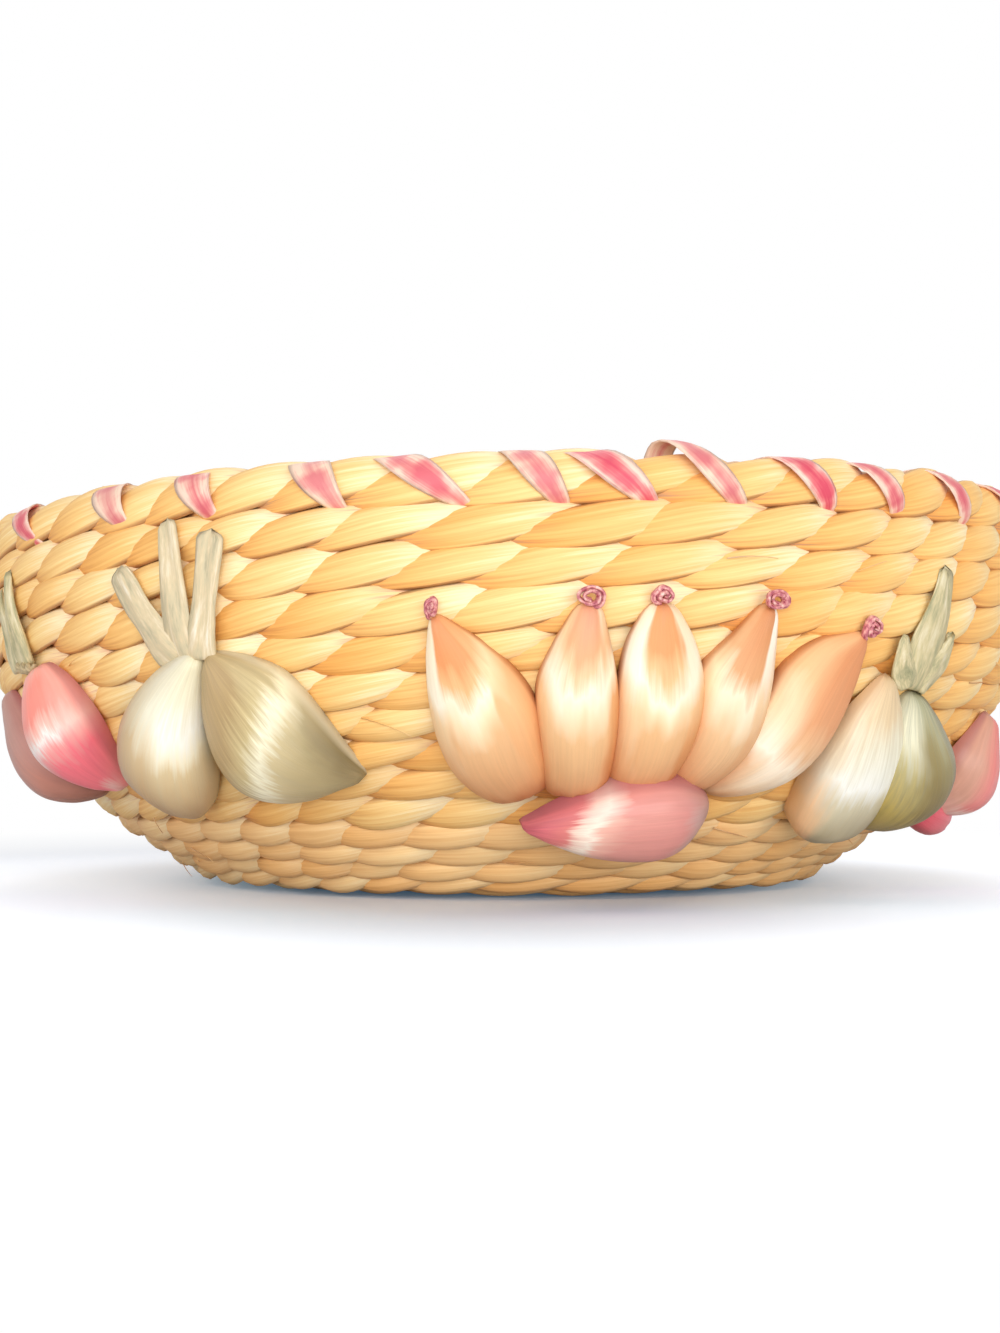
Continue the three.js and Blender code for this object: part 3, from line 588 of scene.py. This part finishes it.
def ribbonShape(s, t):
    here, sideways, away, width = ribbonFrame(s * len(ribbon["wraps"]))
    angle = 2 * math.pi * t
    across, thick = sideways * width / 2, away * ribbon["thickness"] / 2
    return here + (across * math.cos(angle) + thick * math.sin(angle)) * mm


shape = newShape()
rollSheet(shape, len(ribbon["wraps"]) * ribbon["stepsPerWrap"], ribbon["ringPoints"], ribbonShape,
    lambda s, t: (s * len(ribbon["wraps"]) + 0.5, t))
finishPiece("rimRibbon", shape, pinkRaffia, ["rim_strap"])
print("rim ribbon")


# Papery clove skin: fine ribs along its length, satin where it is drawn tight. A pale band runs across
# the belly, curved or slanted, partly the husk's own paler belly and partly a painted highlight. Each
# margin has its own colours: pale like piping on some, darker with painted shade where the clove turns away
# on others.
def huskMaterial(name, look):
    material, tree, uv = openSkin(name)
    split = addNode(tree, "SeparateXYZ", None, [uv])
    fine = addNode(tree, "Mapping", None, {"Vector": uv, "Scale": (look["ribs"], 2.2, 1),
        "Location": (look["seed"], 0, 0)})
    ribs = addNode(tree, "TexNoise", None, {"Vector": fine, "Scale": 1.0, "Detail": 4.0, "Roughness": 0.65})
    broad = addNode(tree, "Mapping", None, {"Vector": uv, "Scale": (2.2, 3.4, 1),
        "Location": (look["seed"], 0, 0)})
    blotch = addNode(tree, "TexNoise", None, {"Vector": broad, "Scale": 1.0, "Detail": 2.0})
    # along the piece, with the slant and bow of its band and its ragged edge
    fray = addNode(tree, "MapRange", (0.3, 0.7, -look["fray"], look["fray"]), [ribs])
    cloud = addNode(tree, "MapRange", (0.3, 0.7, -look["cloud"], look["cloud"]), [blotch])
    slant = addNode(tree, "Math", "MULTIPLY_ADD", [split, look["slant"], split.outputs[1]])
    squared = addNode(tree, "Math", "MULTIPLY", [split, split])
    bowed = addNode(tree, "Math", "MULTIPLY_ADD", [squared, look["bowed"], slant])
    frayed = addNode(tree, "Math", "ADD", [bowed, fray])
    alongPlace = addNode(tree, "Math", "ADD", [frayed, cloud])
    # from the left margin over the middle to the right margin
    wander = addNode(tree, "MapRange", (0.3, 0.7, -0.1, 0.1), [blotch])
    acrossPlace = addNode(tree, "Math", "ADD", [split, wander])
    colours = addNode(tree, "ValToRGB", look["middle"], [alongPlace])
    for side in ("left", "right"):
        margin = addNode(tree, "MapRange", {"interpolation_type": "SMOOTHSTEP",
            "span": look[side + "Margin"]}, [acrossPlace])
        edge = addNode(tree, "ValToRGB", look[side], [alongPlace])
        colours = addNode(tree, "Mix", {"data_type": "RGBA"}, {0: margin, 6: colours, 7: edge}).outputs[2]
    trueSide = addNode(tree, "Math", "ABSOLUTE", [split])
    seam = addNode(tree, "MapRange", (0.95, 1.0, 0.0, look["seam"]), [trueSide])
    seamed = addNode(tree, "Mix", {"data_type": "RGBA"},
        {0: seam, 6: colours, 7: hexColour(look["seamColour"])})
    tone = addNode(tree, "MapRange", (0.3, 0.7, 1 - look["streak"], 1 + look["streak"] * 0.5), [ribs])
    toned = addNode(tree, "HueSaturation", None, {"Color": seamed.outputs[2], "Value": tone})
    closeSkin(tree, toned, look["roughness"], ribs, 0.4, 0.4)
    return material


# what the cloves of a group share: their ribs, the shape of their band, the seam and the gloss
peachSkin = {
    "slot": "peach_husk", "ribs": 16, "fray": 0.014, "cloud": 0.05, "slant": 0.0, "bowed": 0.14,
    "leftMargin": (-0.55, -0.85), "seam": 0.85, "seamColour": "#bf7440", "streak": 0.06, "roughness": 0.5,
}
creamSkin = {
    "slot": "cream_husk", "ribs": 14, "fray": 0.05, "cloud": 0.04, "bowed": 0.06, "roughness": 0.36,
}
khakiSkin = {
    "slot": "khaki_husk", "ribs": 16, "seed": 5.2, "fray": 0.06, "cloud": 0.03, "slant": 0.16, "bowed": 0.0,
    "leftMargin": (-0.6, -0.95), "rightMargin": (0.6, 0.95), "seam": 0.65, "seamColour": "#e6dfc2",
    "streak": 0.16, "roughness": 0.36,
}
oliveSkin = {
    "slot": "olive_husk", "ribs": 15, "seed": 7.3, "fray": 0.1, "cloud": 0.05, "slant": -0.12,
    "bowed": 0.0, "leftMargin": (-0.15, -0.7), "rightMargin": (0.3, 0.8), "seam": 0.6,
        "seamColour": "#6f6848",
    "streak": 0.28, "roughness": 0.36,
}
pinkSkin = {
    "slot": "pink_husk", "ribs": 15, "seed": 9.4, "fray": 0.05, "cloud": 0.05, "slant": 0.05, "bowed": 0.0,
    "leftMargin": (-0.3, -0.8), "rightMargin": (0.6, 0.95), "seam": 0.7, "seamColour": "#a86468",
    "streak": 0.08, "roughness": 0.38,
}

# the skin of each clove, from its neck to its foot down the middle and along its margins; the palest
# stop of each middle is partly a painted highlight, and the darker margins are painted shade
huskLooks = {
    "fan_clove_1": {**peachSkin, "seed": 1.3, "leftMargin": (-0.46, -0.62), "rightMargin": (0.44, 0.56),
        "middle": "0 #e7a072, 8 #e89862, 20 #e9995f, 29 #f1b880, 36 #feefd2, 43 #fbe0b6, 54 #ecba86, "
            "80 #e6ab76, 100 #d08450",
        "left": "0 #f3d2a8, 10 #fdebca, 38 #fff4dc, 48 #f6d3a4, 70 #e9b27e, 100 #d0864f",
        "right": "0 #ea9f68, 24 #eeb07a, 34 #f8d8a8, 44 #f0ba84, 85 #e7a870, 100 #d08450"},
    "fan_clove_2": {**peachSkin, "seed": 0.0, "rightMargin": (0.5, 0.76),
        "middle": "0 #e09a78, 10 #e6a47c, 21 #eaa97a, 28 #f2c698, 36 #fdf1d6, 43 #fadfb8, 54 #eebf8a, "
            "85 #e8b07a, 100 #d28a54",
        "left": "0 #e6ac80, 14 #efc294, 26 #f5d0a2, 36 #fdf0d6, 47 #f4cb98, 80 #e9ae78, 100 #d28a54",
        "right": "0 #f0c8a0, 14 #f6d6b0, 24 #f0b886, 36 #fdeccb, 47 #e9ab72, 100 #cc8048"},
    "fan_clove_3": {**peachSkin, "seed": 4.7, "leftMargin": (-0.46, -0.66), "rightMargin": (0.36, 0.56),
        "middle": "0 #e09a6c, 8 #e69a60, 21 #e89b60, 29 #f2be88, 37 #fdf0d4, 44 #fadcb2, 54 #ecbb86, "
            "85 #e6ab76, 100 #d28a54",
        "left": "0 #ecc294, 10 #fdeccb, 37 #fff8e4, 48 #f8d6a8, 80 #ecb47e, 100 #d08450",
        "right": "0 #e8ba8c, 12 #f8e0ba, 36 #fdeed2, 46 #f2c28c, 60 #e6a166, 100 #cc8048"},
    "fan_clove_4": {**peachSkin, "seed": 2.6, "leftMargin": (-0.6, -0.9), "rightMargin": (0.26, 0.4),
        "middle": "0 #d08c5e, 13 #d8925e, 30 #dfa270, 40 #fae8c8, 48 #f8dfba, 58 #eec392, 82 #e8b07c, "
            "100 #de9866",
        "left": "0 #dfa06e, 30 #e8b484, 42 #f6dcb0, 62 #eeaa74, 100 #e69662",
        "right": "0 #ecc9a6, 5 #fff6e6, 32 #fbe6cc, 42 #f4d2a6, 60 #eab684, 100 #dfa06a"},
    "fan_clove_5": {**peachSkin, "seed": 8.2, "bowed": 0.0, "leftMargin": (-0.2, -0.7),
        "rightMargin": (0.84, 0.98),
        "middle": "0 #dd9464, 15 #e09562, 42 #e7a474, 54 #f0c092, 64 #ffeed4, 76 #f7dcb8, 90 #ecbe90, "
            "100 #dc9f6c",
        "left": "0 #efb680, 30 #f3bd88, 48 #fbe0ba, 64 #fff6e0, 76 #e6ba8e, 100 #d89868",
        "right": "0 #f0c8a0, 50 #f8e0bc, 100 #efcfa4"},
    "front_pink_clove": {**pinkSkin, "fray": 0.04, "slant": -0.075, "leftMargin": (-0.5, -0.95),
        "middle": "0 #c05c66, 8 #dc727a, 20 #e4847f, 26 #fadcca, 34 #fff2e0, 40 #f2bcaa, 52 #e09a8e, "
            "74 #dd938a, 86 #cfa39b, 100 #ae8886",
        "left": "0 #ac505c, 18 #c76c72, 26 #f0c4b6, 35 #f6d3c4, 46 #d38a82, 100 #a07478",
        "right": "0 #cc6a70, 20 #d8787a, 28 #f3cabd, 37 #fae0d2, 48 #dc9086, 100 #c0948e"},
    "left_cream_clove": {**creamSkin, "seed": 3.1, "slant": -0.04, "leftMargin": (-0.12, -0.62),
        "rightMargin": (-0.05, 0.38), "seam": 0.6, "seamColour": "#b9ac8c", "streak": 0.09,
        "middle": "0 #e4dcbc, 14 #e9e0c4, 27 #f1ebd2, 36 #eadcbc, 45 #d9be92, 62 #cfae80, 85 #c59e6e, "
            "100 #ac8654",
        "left": "0 #e0dac4, 20 #dfd2b4, 34 #d8c6a2, 45 #caae86, 62 #c2a27c, 100 #a4825a",
        "right": "0 #e8deba, 20 #f4ecd0, 32 #fffdf0, 42 #faf0d2, 51 #e4cda0, 64 #d8bc8e, 100 #b48c5e"},
    "left_green_clove": {**khakiSkin,
        "middle": "0 #b9a074, 15 #bfa274, 30 #bda06f, 44 #d3bf8c, 54 #fdf6d6, 62 #d6c498, 76 #c0ae82, "
            "100 #98865e",
        "left": "0 #a58f64, 40 #b09a6a, 54 #e6d8b0, 70 #c3b388, 100 #948360",
        "right": "0 #bca276, 45 #ccb889, 54 #f0e4bd, 70 #b0a078, 100 #857652"},
    "left_edge_pink_clove": {**pinkSkin,
        "middle": "0 #fab4a0, 12 #ff9684, 30 #ff9686, 41 #ffc8b8, 48 #fff6ee, 55 #ffaaa4, 64 #ff7a86, "
            "86 #ff7e88, 95 #fcc8c0, 100 #f0aaa2",
        "left": "0 #cc9288, 30 #d39088, 52 #ecc4ba, 72 #e2908b, 100 #d38284",
        "right": "0 #fbae9c, 30 #fcaa9c, 47 #ffc2b4, 66 #fa7886, 100 #f09292"},
    "left_edge_red_clove": {**pinkSkin, "seed": 4.4, "slant": 0.0,
        "middle": "0 #bd9286, 40 #c29286, 70 #c38472, 100 #9c6654",
        "left": "0 #ab8682, 50 #bb968e, 100 #98665c",
        "right": "0 #b28078, 50 #bf867a, 100 #945c52"},
    "right_cream_clove": {**creamSkin, "seed": 5.9, "slant": 0.03, "leftMargin": (-0.6, -0.98),
        "rightMargin": (0.6, 0.95), "seam": 0.4, "seamColour": "#c89868", "streak": 0.13,
        "middle": "0 #dfc094, 18 #e8cfa6, 30 #eee6cc, 40 #f6f3e2, 49 #fffef4, 59 #dcd2b2, 80 #bcae8c, "
            "100 #918262",
        "left": "0 #e6c69c, 30 #ecd8b6, 48 #f6ecd4, 68 #f4cb9c, 100 #ecb27c",
        "right": "0 #e6cba2, 50 #ddd0b0, 75 #c4b696, 100 #9c8c70"},
    "right_green_bulb": {**oliveSkin,
        "middle": "0 #aeac8a, 12 #b4ae88, 24 #9f9162, 40 #8d7c4c, 60 #8d7a48, 80 #a8945a, 100 #877446",
        "left": "0 #c4c2a4, 30 #dedabc, 46 #b9ac78, 70 #bda65c, 100 #a08850",
        "right": "0 #848060, 30 #746c50, 60 #685e46, 85 #6c6044, 100 #6c5e44"},
    "right_edge_pink_clove": {**pinkSkin, "seed": 6.8, "slant": 0.1,
        "middle": "0 #e68a80, 25 #ec8a82, 50 #ef908a, 64 #ec8680, 74 #fde0d2, 82 #ee8a8a, 100 #e46c78",
        "left": "0 #d19a84, 50 #d9a28c, 72 #e6b6a4, 100 #dc767c",
        "right": "0 #e08e88, 60 #e68e8c, 100 #d0646c"},
    "right_edge_red_clove": {**pinkSkin, "seed": 2.2, "slant": 0.0,
        "middle": "0 #b44a54, 25 #ea5c6a, 60 #f47e86, 100 #e87884",
        "left": "0 #ac444e, 50 #d9545f, 100 #ce5862",
        "right": "0 #bc5058, 50 #ee848e, 100 #e47c84"},
}
husks = {name: huskMaterial(name.replace("_", " ") + " husk", look) for name, look in huskLooks.items()}

# Where the groups are: their turn from the front, and their height as a share of the wall's curve.
groups = {
    "fan": (13, 0.563), "leftGarlic": (-29, 0.662), "leftEdge": (-52, 0.609),
    "rightGarlic": (41, 0.609), "rightEdge": (61, 0.397),
}

# How deep a piece is from its neck to its foot, as shares, how full its sides are (1 is a round
# arch, less is fuller), and how short its foot's rounding is.
forms = {
    "clove": {"depth": (0.3, 0.55, 0.84, 1.0, 0.95, 0.68, 0.26), "full": 0.8, "footRound": 0.08},
    "bulb": {"depth": (0.26, 0.58, 0.9, 1.0, 0.92, 0.68, 0.34), "full": 0.85, "footRound": 0.08},
    "leaf": {"depth": (0.34, 0.66, 0.93, 1.0, 0.86, 0.6, 0.26), "full": 0.8, "footRound": 0.05},
    "plump": {"depth": (0.26, 0.56, 0.82, 0.96, 1.0, 0.96, 0.8), "full": 0.55, "footRound": 0.22},
    "almond": {"depth": (0.26, 0.56, 0.82, 0.96, 1.0, 0.96, 0.76), "full": 0.55, "footRound": 0.36},
}

# across and up give the neck's place from the group's, lean turns the piece from hanging straight
# down towards the right, left and right are its half widths from the neck to the foot, and seat is
# how far its back stands off the weave.
cloves = {
    "fan_clove_1": {"group": "fan", "form": "clove", "across": -57.5, "up": 25.5, "lean": 20.5,
        "length": 63, "depth": 12.5, "seat": -1.5,
        "left": (1.6, 6.4, 10.4, 13.0, 13.8, 11.6, 7.0), "right": (1.6, 8.0, 13.4, 15.8, 15.2, 14.0, 10.0)},
    "fan_clove_2": {"group": "fan", "form": "clove", "across": -19.3, "up": 28.3, "lean": 2, "length": 60,
        "depth": 12.5, "seat": -0.6,
        "left": (3.2, 8.5, 12.9, 13.4, 12.6, 11.8, 9.4), "right": (3.2, 5.4, 7.6, 8.8, 9.0, 9.0, 8.4)},
    "fan_clove_3": {"group": "fan", "form": "clove", "across": -1, "up": 28.3, "lean": 1, "length": 59,
        "depth": 13, "seat": -1.0,
        "left": (3.6, 8.2, 10.0, 10.4, 10.6, 10.4, 9.4), "right": (3.8, 9.2, 12.8, 13.8, 13.0, 11.6, 9.0)},
    "fan_clove_4": {"group": "fan", "form": "clove", "across": 29, "up": 28, "lean": -13.5, "length": 61,
        "depth": 11.5, "seat": -1.8,
        "left": (2.6, 7.2, 12.8, 13.0, 11.8, 10.6, 8.0), "right": (2.6, 5.4, 8.8, 11.4, 12.2, 10.4, 8.0)},
    "fan_clove_5": {"group": "fan", "form": "clove", "across": 60.5, "up": 21, "lean": -34, "length": 63,
        "depth": 12, "seat": -1.6,
        "left": (2.0, 11.2, 14.8, 12.4, 10.4, 9.0, 6.0), "right": (1.8, 8.0, 12.6, 15.0, 14.8, 10.6, 5.0)},
    "front_pink_clove": {"group": "fan", "form": "almond", "across": -35.5, "up": -36.6, "lean": 95,
        "length": 52, "depth": 15.5, "seat": 3.8,
        "left": (0.6, 4.2, 6.6, 8.0, 8.6, 8.6, 7.2), "right": (0.6, 6.4, 11.4, 14.6, 15.6, 14.6, 11.6)},
    "left_cream_clove": {"group": "leftGarlic", "form": "clove", "across": 2.5, "up": 3, "lean": -27,
        "length": 63, "depth": 16, "seat": 0,
        "left": (3.2, 10.8, 16.6, 20.0, 20.4, 14.8, 2.6), "right": (2.6, 4.6, 6.6, 8.6, 8.8, 6.4, 1.2)},
    "left_green_clove": {"group": "leftGarlic", "form": "leaf", "across": 5, "up": 2, "lean": 44,
        "length": 55, "depth": 14, "seat": -0.8,
        "left": (2.2, 16.4, 26.0, 30.0, 27.6, 19.0, 3.0), "right": (2.2, 7.8, 11.4, 10.4, 7.4, 3.8, 0.6)},
    "left_edge_pink_clove": {"group": "leftEdge", "form": "leaf", "across": 1, "up": 10.5, "lean": 15,
        "length": 45, "depth": 16, "seat": -0.5,
        "left": (5.0, 10.4, 13.6, 15.0, 13.2, 9.2, 2.2),
        "right": (6.0, 12.4, 15.2, 15.4, 12.4, 7.4, 1.4)},
    "left_edge_red_clove": {"group": "leftEdge", "form": "clove", "across": -38, "up": 4, "lean": 32,
        "length": 48, "depth": 15, "seat": -1.2,
        "left": (2.6, 8.6, 13.2, 15.8, 15.4, 11.2, 5.0), "right": (1.8, 3.8, 6.4, 7.0, 7.4, 7.0, 5.0)},
    "right_cream_clove": {"group": "rightGarlic", "form": "plump", "across": -10.5, "up": 2.8, "lean": 4,
        "length": 57, "depth": 14, "seat": -0.4,
        "left": (2.4, 9.6, 13.8, 15.6, 15.6, 13.4, 9.0),
        "right": (2.2, 7.2, 12.0, 15.8, 17.2, 15.4, 10.0)},
    "right_green_bulb": {"group": "rightGarlic", "form": "bulb", "across": 4, "up": -2, "lean": 12,
        "length": 47, "depth": 21, "seat": -0.8,
        "left": (3.2, 8.0, 11.0, 12.0, 11.6, 9.6, 5.0), "right": (3.2, 10.4, 17.0, 20.4, 20.4, 16.0, 8.0)},
    "right_edge_pink_clove": {"group": "rightEdge", "form": "clove", "across": 9, "up": 24.5, "lean": 2,
        "length": 37, "depth": 17, "seat": -0.8,
        "left": (2.2, 5.6, 8.8, 10.0, 9.6, 7.8, 4.8), "right": (2.2, 6.4, 9.8, 12.4, 12.6, 9.8, 5.4)},
    "right_edge_red_clove": {"group": "rightEdge", "form": "plump", "across": -14, "up": -9.8, "lean": 86,
        "length": 41, "depth": 13, "seat": -0.6,
        "left": (1.2, 3.6, 5.2, 6.0, 6.2, 5.6, 4.2), "right": (1.2, 4.4, 6.6, 7.6, 8.0, 7.6, 5.6)},
}
huskMesh = {"along": 48, "around": 40, "backDepth": 0.9, "ridge": 0.5, "neckRound": 0.06}


# a place on the wall from a piece's own place: sideways and ahead of its neck, out from the weave
def onWall(spec):
    turn, climbShare = groups[spec["group"]]
    groupClimb = wallLength * climbShare
    neckTurn = math.radians(turn) + spec["across"] / sectionPoint(groupClimb, 0)[0]
    neckClimb = groupClimb + spec["up"]
    lean = math.radians(spec["lean"])
    run = Vector((math.sin(lean), -math.cos(lean)))
    side = Vector((-run.y, run.x))
    reach = sectionPoint(neckClimb + run.y * spec["length"] / 2, 0)[0]

    def point(sideways, ahead, out):
        return wallPoint(neckTurn + (run.x * ahead + side.x * sideways) / reach,
            neckClimb + run.y * ahead + side.y * sideways, out)
    return point


def huskShape(shape, spec, seed):
    form = forms[spec["form"]]
    point = onWall(spec)

    def spot(s, t):
        angle = 2 * math.pi * t - math.pi / 2
        neck = min(1, s / huskMesh["neckRound"])
        neck = math.sqrt(max(0, 1 - (1 - neck) ** 2))
        foot = min(1, (1 - s) / form["footRound"])
        foot = math.sqrt(max(0, 1 - (1 - foot) ** 2))
        close = neck * foot
        left, right = smoothShare(spec["left"], s), smoothShare(spec["right"], s)
        sideways = (right - left) / 2 + (left + right) / 2 * close * math.sin(angle)
        if math.cos(angle) >= 0:
            deep = spec["depth"] * smoothShare(form["depth"], s) * close
            out = deep * max(math.cos(angle), 0) ** form["full"]
            ripple = noise.noise(Vector((math.sin(angle) * 4 + seed * 3.7, s * 1.5, seed)))
            out += huskMesh["ridge"] * ripple * close * math.cos(angle)
        else:
            out = huskMesh["backDepth"] * math.cos(angle) * close
        return point(sideways, s * spec["length"], spec["seat"] + out)

    rollSheet(shape, huskMesh["along"], huskMesh["around"], spot,
        lambda s, t: (math.sin(2 * math.pi * t - math.pi / 2), s))


for number, (name, spec) in enumerate(cloves.items(), 1):
    shape = newShape()
    huskShape(shape, spec, number)
    finishPiece(pieceName(name), shape, husks[name], [name])
print("cloves")

# Dried garlic stalk: thin papery tube, ribbed and half see-through; here the skin is opaque and its
# warm colour is painted, standing in for the straw's light showing through it.
def stalkMaterial(name, stops):
    material, tree, uv = openSkin(name)
    fine = addNode(tree, "Mapping", None, {"Vector": uv, "Scale": (9, 1.8, 1)})
    ribs = addNode(tree, "TexNoise", None, {"Vector": fine, "Scale": 1.0, "Detail": 4.0, "Roughness": 0.7})
    paper = addNode(tree, "ValToRGB", stops, [ribs])
    closeSkin(tree, paper, 0.5, ribs, 0.6, 0.5)
    return material


stalkSkins = {
    "papery": stalkMaterial("papery garlic stalk",
        "30 #a89d80, 42 #cbbd9a, 52 #dac69f, 62 #e7d8ba, 75 #f5eede"),
    "green": stalkMaterial("green garlic stalk",
        "30 #90906c, 42 #b4ac84, 52 #d2c396, 62 #e0d4b0, 75 #f2ecd6"),
    "brown": stalkMaterial("dried stalk wrap", "30 #8a7a5c, 45 #ab9874, 60 #c8b48c, 75 #dccca6"),
}

stalks = {
    "left_stalk_1": {"group": "leftGarlic", "skin": "papery", "across": -3.4, "up": 0.5, "lean": 219,
        "length": 33, "widths": (13.0, 11.5, 10.4, 9.4, 8.0, 6.4)},
    "left_stalk_2": {"group": "leftGarlic", "skin": "papery", "across": 0.2, "up": 0.5, "lean": 189.5,
        "length": 39, "widths": (12.0, 10.0, 8.8, 7.8, 7.0, 6.2)},
    "left_stalk_3": {"group": "leftGarlic", "skin": "papery", "across": 4.0, "up": 0, "lean": 170,
        "length": 35, "widths": (11.5, 9.0, 7.6, 7.4, 8.2, 8.4)},
    "left_edge_stalk_1": {"group": "leftEdge", "skin": "green", "across": -12.5, "up": 9, "lean": 192,
        "length": 26, "widths": (12.0, 11.5, 9.5, 7.0, 4.4, 2.8)},
    "left_edge_stalk_2": {"group": "leftEdge", "skin": "green", "across": -6, "up": 10, "lean": 188,
        "length": 29, "widths": (10.5, 10.5, 8.6, 6.6, 4.6, 3.0)},
    "right_stalk_1": {"group": "rightGarlic", "skin": "green", "across": -2.5, "up": -1, "lean": 203,
        "length": 16, "widths": (6.0, 8.4, 9.0, 7.6, 5.6, 3.6)},
    "right_stalk_2": {"group": "rightGarlic", "skin": "green", "across": 1.5, "up": -2, "lean": 173,
        "length": 35, "widths": (6.5, 12.0, 15.0, 12.5, 8.4, 6.0)},
    "right_stalk_3": {"group": "rightGarlic", "skin": "green", "across": 5, "up": -2, "lean": 152,
        "length": 19, "widths": (6.0, 9.6, 11.0, 9.6, 7.0, 4.2)},
}
stalkSize = {"depth": 3, "along": 30, "around": 18, "wrinkle": 0.9, "flute": 0.35, "sway": 0.8,
    "fray": 2.4, "seat": -0.6, "seatStep": 0.3, "depths": (1.0, 1.0, 0.85, 0.75, 0.6, 0.4)}

for number, (name, spec) in enumerate(stalks.items()):
    point = onWall(spec)

    def spot(s, t):
        angle = 2 * math.pi * t
        close = min(1, s / 0.04) ** 0.5 * min(1, (1 - s) / 0.05) ** 0.5
        crinkle = noise.noise(Vector((math.cos(angle) * 2.2, math.sin(angle) * 1.4, s * 3 + number * 5)))
        half = smoothShare(spec["widths"], s) / 2 * close
        deep = stalkSize["depth"] / 2 * smoothShare(stalkSize["depths"], s) * close
        wrinkle = stalkSize["wrinkle"] * crinkle
        # the tube sways a little and is fluted lengthwise, and its end is ragged
        sway = stalkSize["sway"] * math.sin(5 * s + number)
        flute = stalkSize["flute"] * math.sin(4 * angle + 3 * s + number)
        sideways = (half + wrinkle * close) * math.cos(angle) + sway
        out = deep * (1 + math.sin(angle)) + (wrinkle + flute) * close * math.sin(angle)
        ahead = s * spec["length"] + stalkSize["fray"] * crinkle * blendShare(0.8, 1, s)
        return point(sideways, ahead, stalkSize["seat"] + stalkSize["seatStep"] * (number % 3) + out)

    shape = newShape()
    rollSheet(shape, stalkSize["along"], stalkSize["around"], spot, lambda s, t: (t + number * 3, s))
    finishPiece(pieceName(name), shape, stalkSkins[spec["skin"]], [name])

# Dried crimson clove tip: brittle, dark in its folds and pale on its curled edges.
crimsonTip, tree, uv = openSkin("dried crimson tip")
fine = addNode(tree, "Mapping", None, {"Vector": uv, "Scale": (1.6, 14, 1)})
folds = addNode(tree, "TexNoise", None, {"Vector": fine, "Scale": 1.0, "Detail": 3.0})
tone = addNode(tree, "ValToRGB", "32 #9c4654, 46 #c6747c, 56 #df9c96, 68 #f2cabd", [folds])
closeSkin(tree, tone, 0.5, folds, 0.5, 0.4)

# Each fan clove ends in a tip whose dried skin has curled up into a small crumpled roll.
tips = {
    "fan_tip_1": {"clove": "fan_clove_1", "lean": 174, "wide": 3.8, "tall": 6.4},
    "fan_tip_2": {"clove": "fan_clove_2", "lean": 176, "wide": 7.2, "tall": 4.6},
    "fan_tip_3": {"clove": "fan_clove_3", "lean": 180, "wide": 6.8, "tall": 5.2},
    "fan_tip_4": {"clove": "fan_clove_4", "lean": 182, "wide": 7.4, "tall": 4.2},
    "fan_tip_5": {"clove": "fan_clove_5", "lean": 176, "wide": 6.6, "tall": 6.8},
}
tipSize = {"turns": 2.1, "thick": 0.55, "stand": 3.4, "along": 60, "around": 8, "crumple": 0.16,
    "shrink": 0.78, "rise": 0.55, "flare": 0.25, "seat": 0.9}


def curledTip(shape, point, tip, number):
    def path(s):
        angle = -math.pi / 2 + s * tipSize["turns"] * 2 * math.pi * (1 if number % 2 else -1)
        grow = 1 - tipSize["shrink"] * s
        dent = 1 + tipSize["crumple"] * noise.noise(Vector((math.cos(angle) * 2, math.sin(angle) * 2,
            number * 3.3)))
        dent += 0.5 * tipSize["crumple"] * math.sin(3 * angle + number)
        return Vector((tip["wide"] / 2 * grow * dent * math.cos(angle),
            tip["tall"] / 2 * (tipSize["rise"] + grow * dent * math.sin(angle)), 0))

    def spot(s, t):
        here, near = path(s), path(s + 0.005)
        along = (near - here).normalized()
        across = Vector((along.y, -along.x, 0))
        angle = 2 * math.pi * t
        close = min(1, (1 - s) / 0.04) ** 0.5 * min(1, s / 0.04) ** 0.5
        stand = tipSize["stand"] * (0.62 + 0.38 * s + 0.12 * math.sin(9 * s + number))
        flare = tipSize["flare"] * (1 + math.sin(angle))
        place = here + across * (tipSize["thick"] * math.cos(angle) * close - flare * close)
        out = stand / 2 * (1 + math.sin(angle)) * close
        return point(place.x, place.y, tipSize["seat"] + out)

    rollSheet(shape, tipSize["along"], tipSize["around"], spot,
        lambda s, t: (math.sin(2 * math.pi * t) + number * 4, s * 1.6))


for number, (name, tip) in enumerate(tips.items(), 1):
    spec = {**cloves[tip["clove"]], "lean": tip["lean"], "length": tip["tall"]}
    shape = newShape()
    curledTip(shape, onWall(spec), tip, number)
    finishPiece(pieceName(name), shape, crimsonTip, [name])

# The dried wrap across the neck of the left edge group.
tie = {"group": "leftEdge", "across": -9, "up": 11, "lean": 84, "length": 10, "thick": 1.1, "turns": 1.4,
    "winding": 0.8, "stand": 2.2, "steps": 30, "around": 10}
shape = newShape()
tiePoint = onWall(tie)
for strand in (0, 1):
    def spot(s, t):
        angle = 2 * math.pi * t
        wind = 2 * math.pi * tie["turns"] * s + math.pi * strand
        thick = tie["thick"] * min(1, s / 0.06) ** 0.5 * min(1, (1 - s) / 0.06) ** 0.5
        sideways = tie["winding"] * math.cos(wind) + thick * math.cos(angle)
        out = tie["stand"] + tie["winding"] * math.sin(wind) + thick * math.sin(angle)
        return tiePoint(sideways, s * tie["length"], out)

    rollSheet(shape, tie["steps"], tie["around"], spot, lambda s, t: (t + strand * 2, s * 2))
finishPiece("leftEdgeTie", shape, stalkSkins["brown"], ["left_edge_tie"])
print("stalks, tips and tie")
